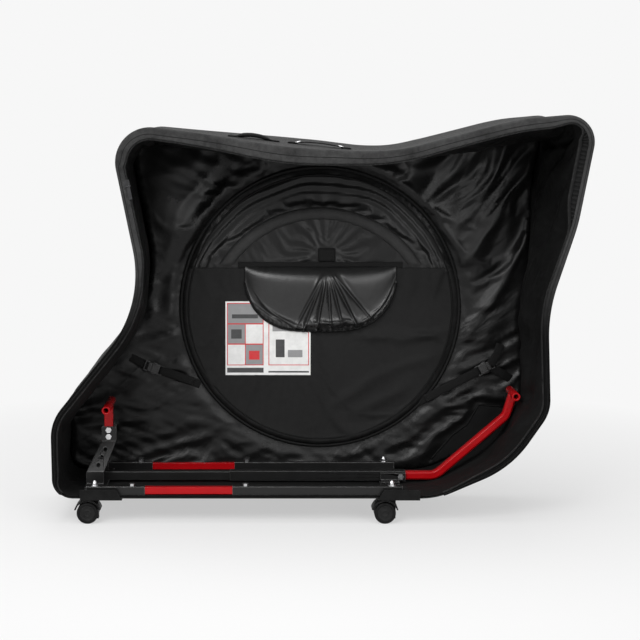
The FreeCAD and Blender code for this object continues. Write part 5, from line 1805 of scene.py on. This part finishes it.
# Stand and running gear: bevelled edges and finishes
FINISHES = {
    "black_paint": BLACK_PAINT,
    "red_paint": RED_PAINT,
    "bright_steel": STEEL,
    "black_plastic": PLASTIC,
    "wheel_plastic": WHEEL_PLASTIC,
    "zip_metal": ZIP_METAL,
    "webbing": WEBBING,
    "card": CARD_WHITE,
    "lining_nylon": LINING,
    "pocket_fabric": POCKET_CLOTH,
    "shell_fabric": SHELL_CLOTH,
    "rim_fabric": RIM_CLOTH,
    "zip_teeth": TEETH_PLASTIC,
}
HARD_SLOTS = {"black_paint": 0.0009, "red_paint": 0.0009, "bright_steel": 0.0005, "black_plastic": 0.0008,
              "wheel_plastic": 0.0006, "zip_metal": 0.0003}
for entry in frame["record"]["subparts"]:
    part = nodes[entry["node"]]
    part.data.materials.clear()
    part.data.materials.append(FINISHES[entry["material_slot"]])
    width = HARD_SLOTS.get(entry["material_slot"])
    if width:
        weld = part.modifiers.new("weld", "WELD")
        weld.merge_threshold = 0.00002
        bevel = part.modifiers.new("bevel", "BEVEL")
        set_all(bevel, width=width, segments=2, limit_method="ANGLE", angle_limit=math.radians(40))

# Floor, light and camera
BACKDROP = grey(0.93)


def seen_share(tree):
    """1 for rays from the camera, a reflection or a clear piece, 0 for rays that light the scene."""
    path = add(tree, "LightPath")
    seen = calc(tree, "MAXIMUM", path.outputs["Is Camera Ray"], path.outputs["Is Glossy Ray"])
    return calc(tree, "MAXIMUM", seen, path.outputs["Is Transmission Ray"])


bpy.ops.mesh.primitive_plane_add(size=30.0, location=(0.0, 0.0, 0.0))
floor = bpy.context.object
floor.name = "studio_floor"
floor_material, floor_tree, floor_shader = new_material("studio_floor", base_color=grey(0.80),
                                                        roughness=0.9)
floor_place = add(floor_tree, "TexCoord").outputs["Object"]
away = add(floor_tree, "VectorMath", {0: floor_place}, operation="LENGTH").outputs["Value"]
faded = spread(floor_tree, away, 0.55, 1.0, 0.55, 1.7)
glow = add(floor_tree, "Emission", {"Color": BACKDROP, "Strength": 1.0})
glow_share = calc(floor_tree, "MULTIPLY", seen_share(floor_tree), faded)
mixed = add(floor_tree, "MixShader", {0: glow_share, 1: floor_shader.outputs[0], 2: glow.outputs[0]})
floor_tree.links.new(mixed.outputs[0], floor_tree.nodes["Material Output"].inputs["Surface"])
floor.data.materials.append(floor_material)

world = bpy.data.worlds.new("studio")
scene.world = world
world.use_nodes = True
world_tree = world.node_tree
background = world_tree.nodes["Background"]
background.inputs["Color"].default_value = BACKDROP
world_tree.links.new(spread(world_tree, seen_share(world_tree), 0.30, 1.0), background.inputs["Strength"])

# Lamps: name, place, turn in degrees, size and power
LIGHTS = (
    ("key_softbox", (-1.3, -2.4, 2.3), (49, 0, -28), 1.6, 70.0),
    ("front_fill", (1.4, -2.6, 1.3), (68, 0, 28), 1.6, 30.0),
    ("top_softbox", (0.0, 0.1, 2.6), (0, 0, 0), 2.0, 35.0),
)
for name, place, turn, size, power in LIGHTS:
    lamp = bpy.data.objects.new(name, bpy.data.lights.new(name, "AREA"))
    lamp.data.size = size
    lamp.data.energy = power
    lamp.location = place
    lamp.rotation_euler = [math.radians(angle) for angle in turn]
    scene.collection.objects.link(lamp)

camera = bpy.data.objects.new("camera", bpy.data.cameras.new("camera"))
scene.collection.objects.link(camera)
camera.location = (-0.1185, -3.730, 0.940)
camera.rotation_euler = (math.radians(82.63), 0.0, 0.0)
camera.data.lens = 89.1
camera.data.shift_x = 0.0853
camera.data.sensor_width = 36.0
scene.camera = camera
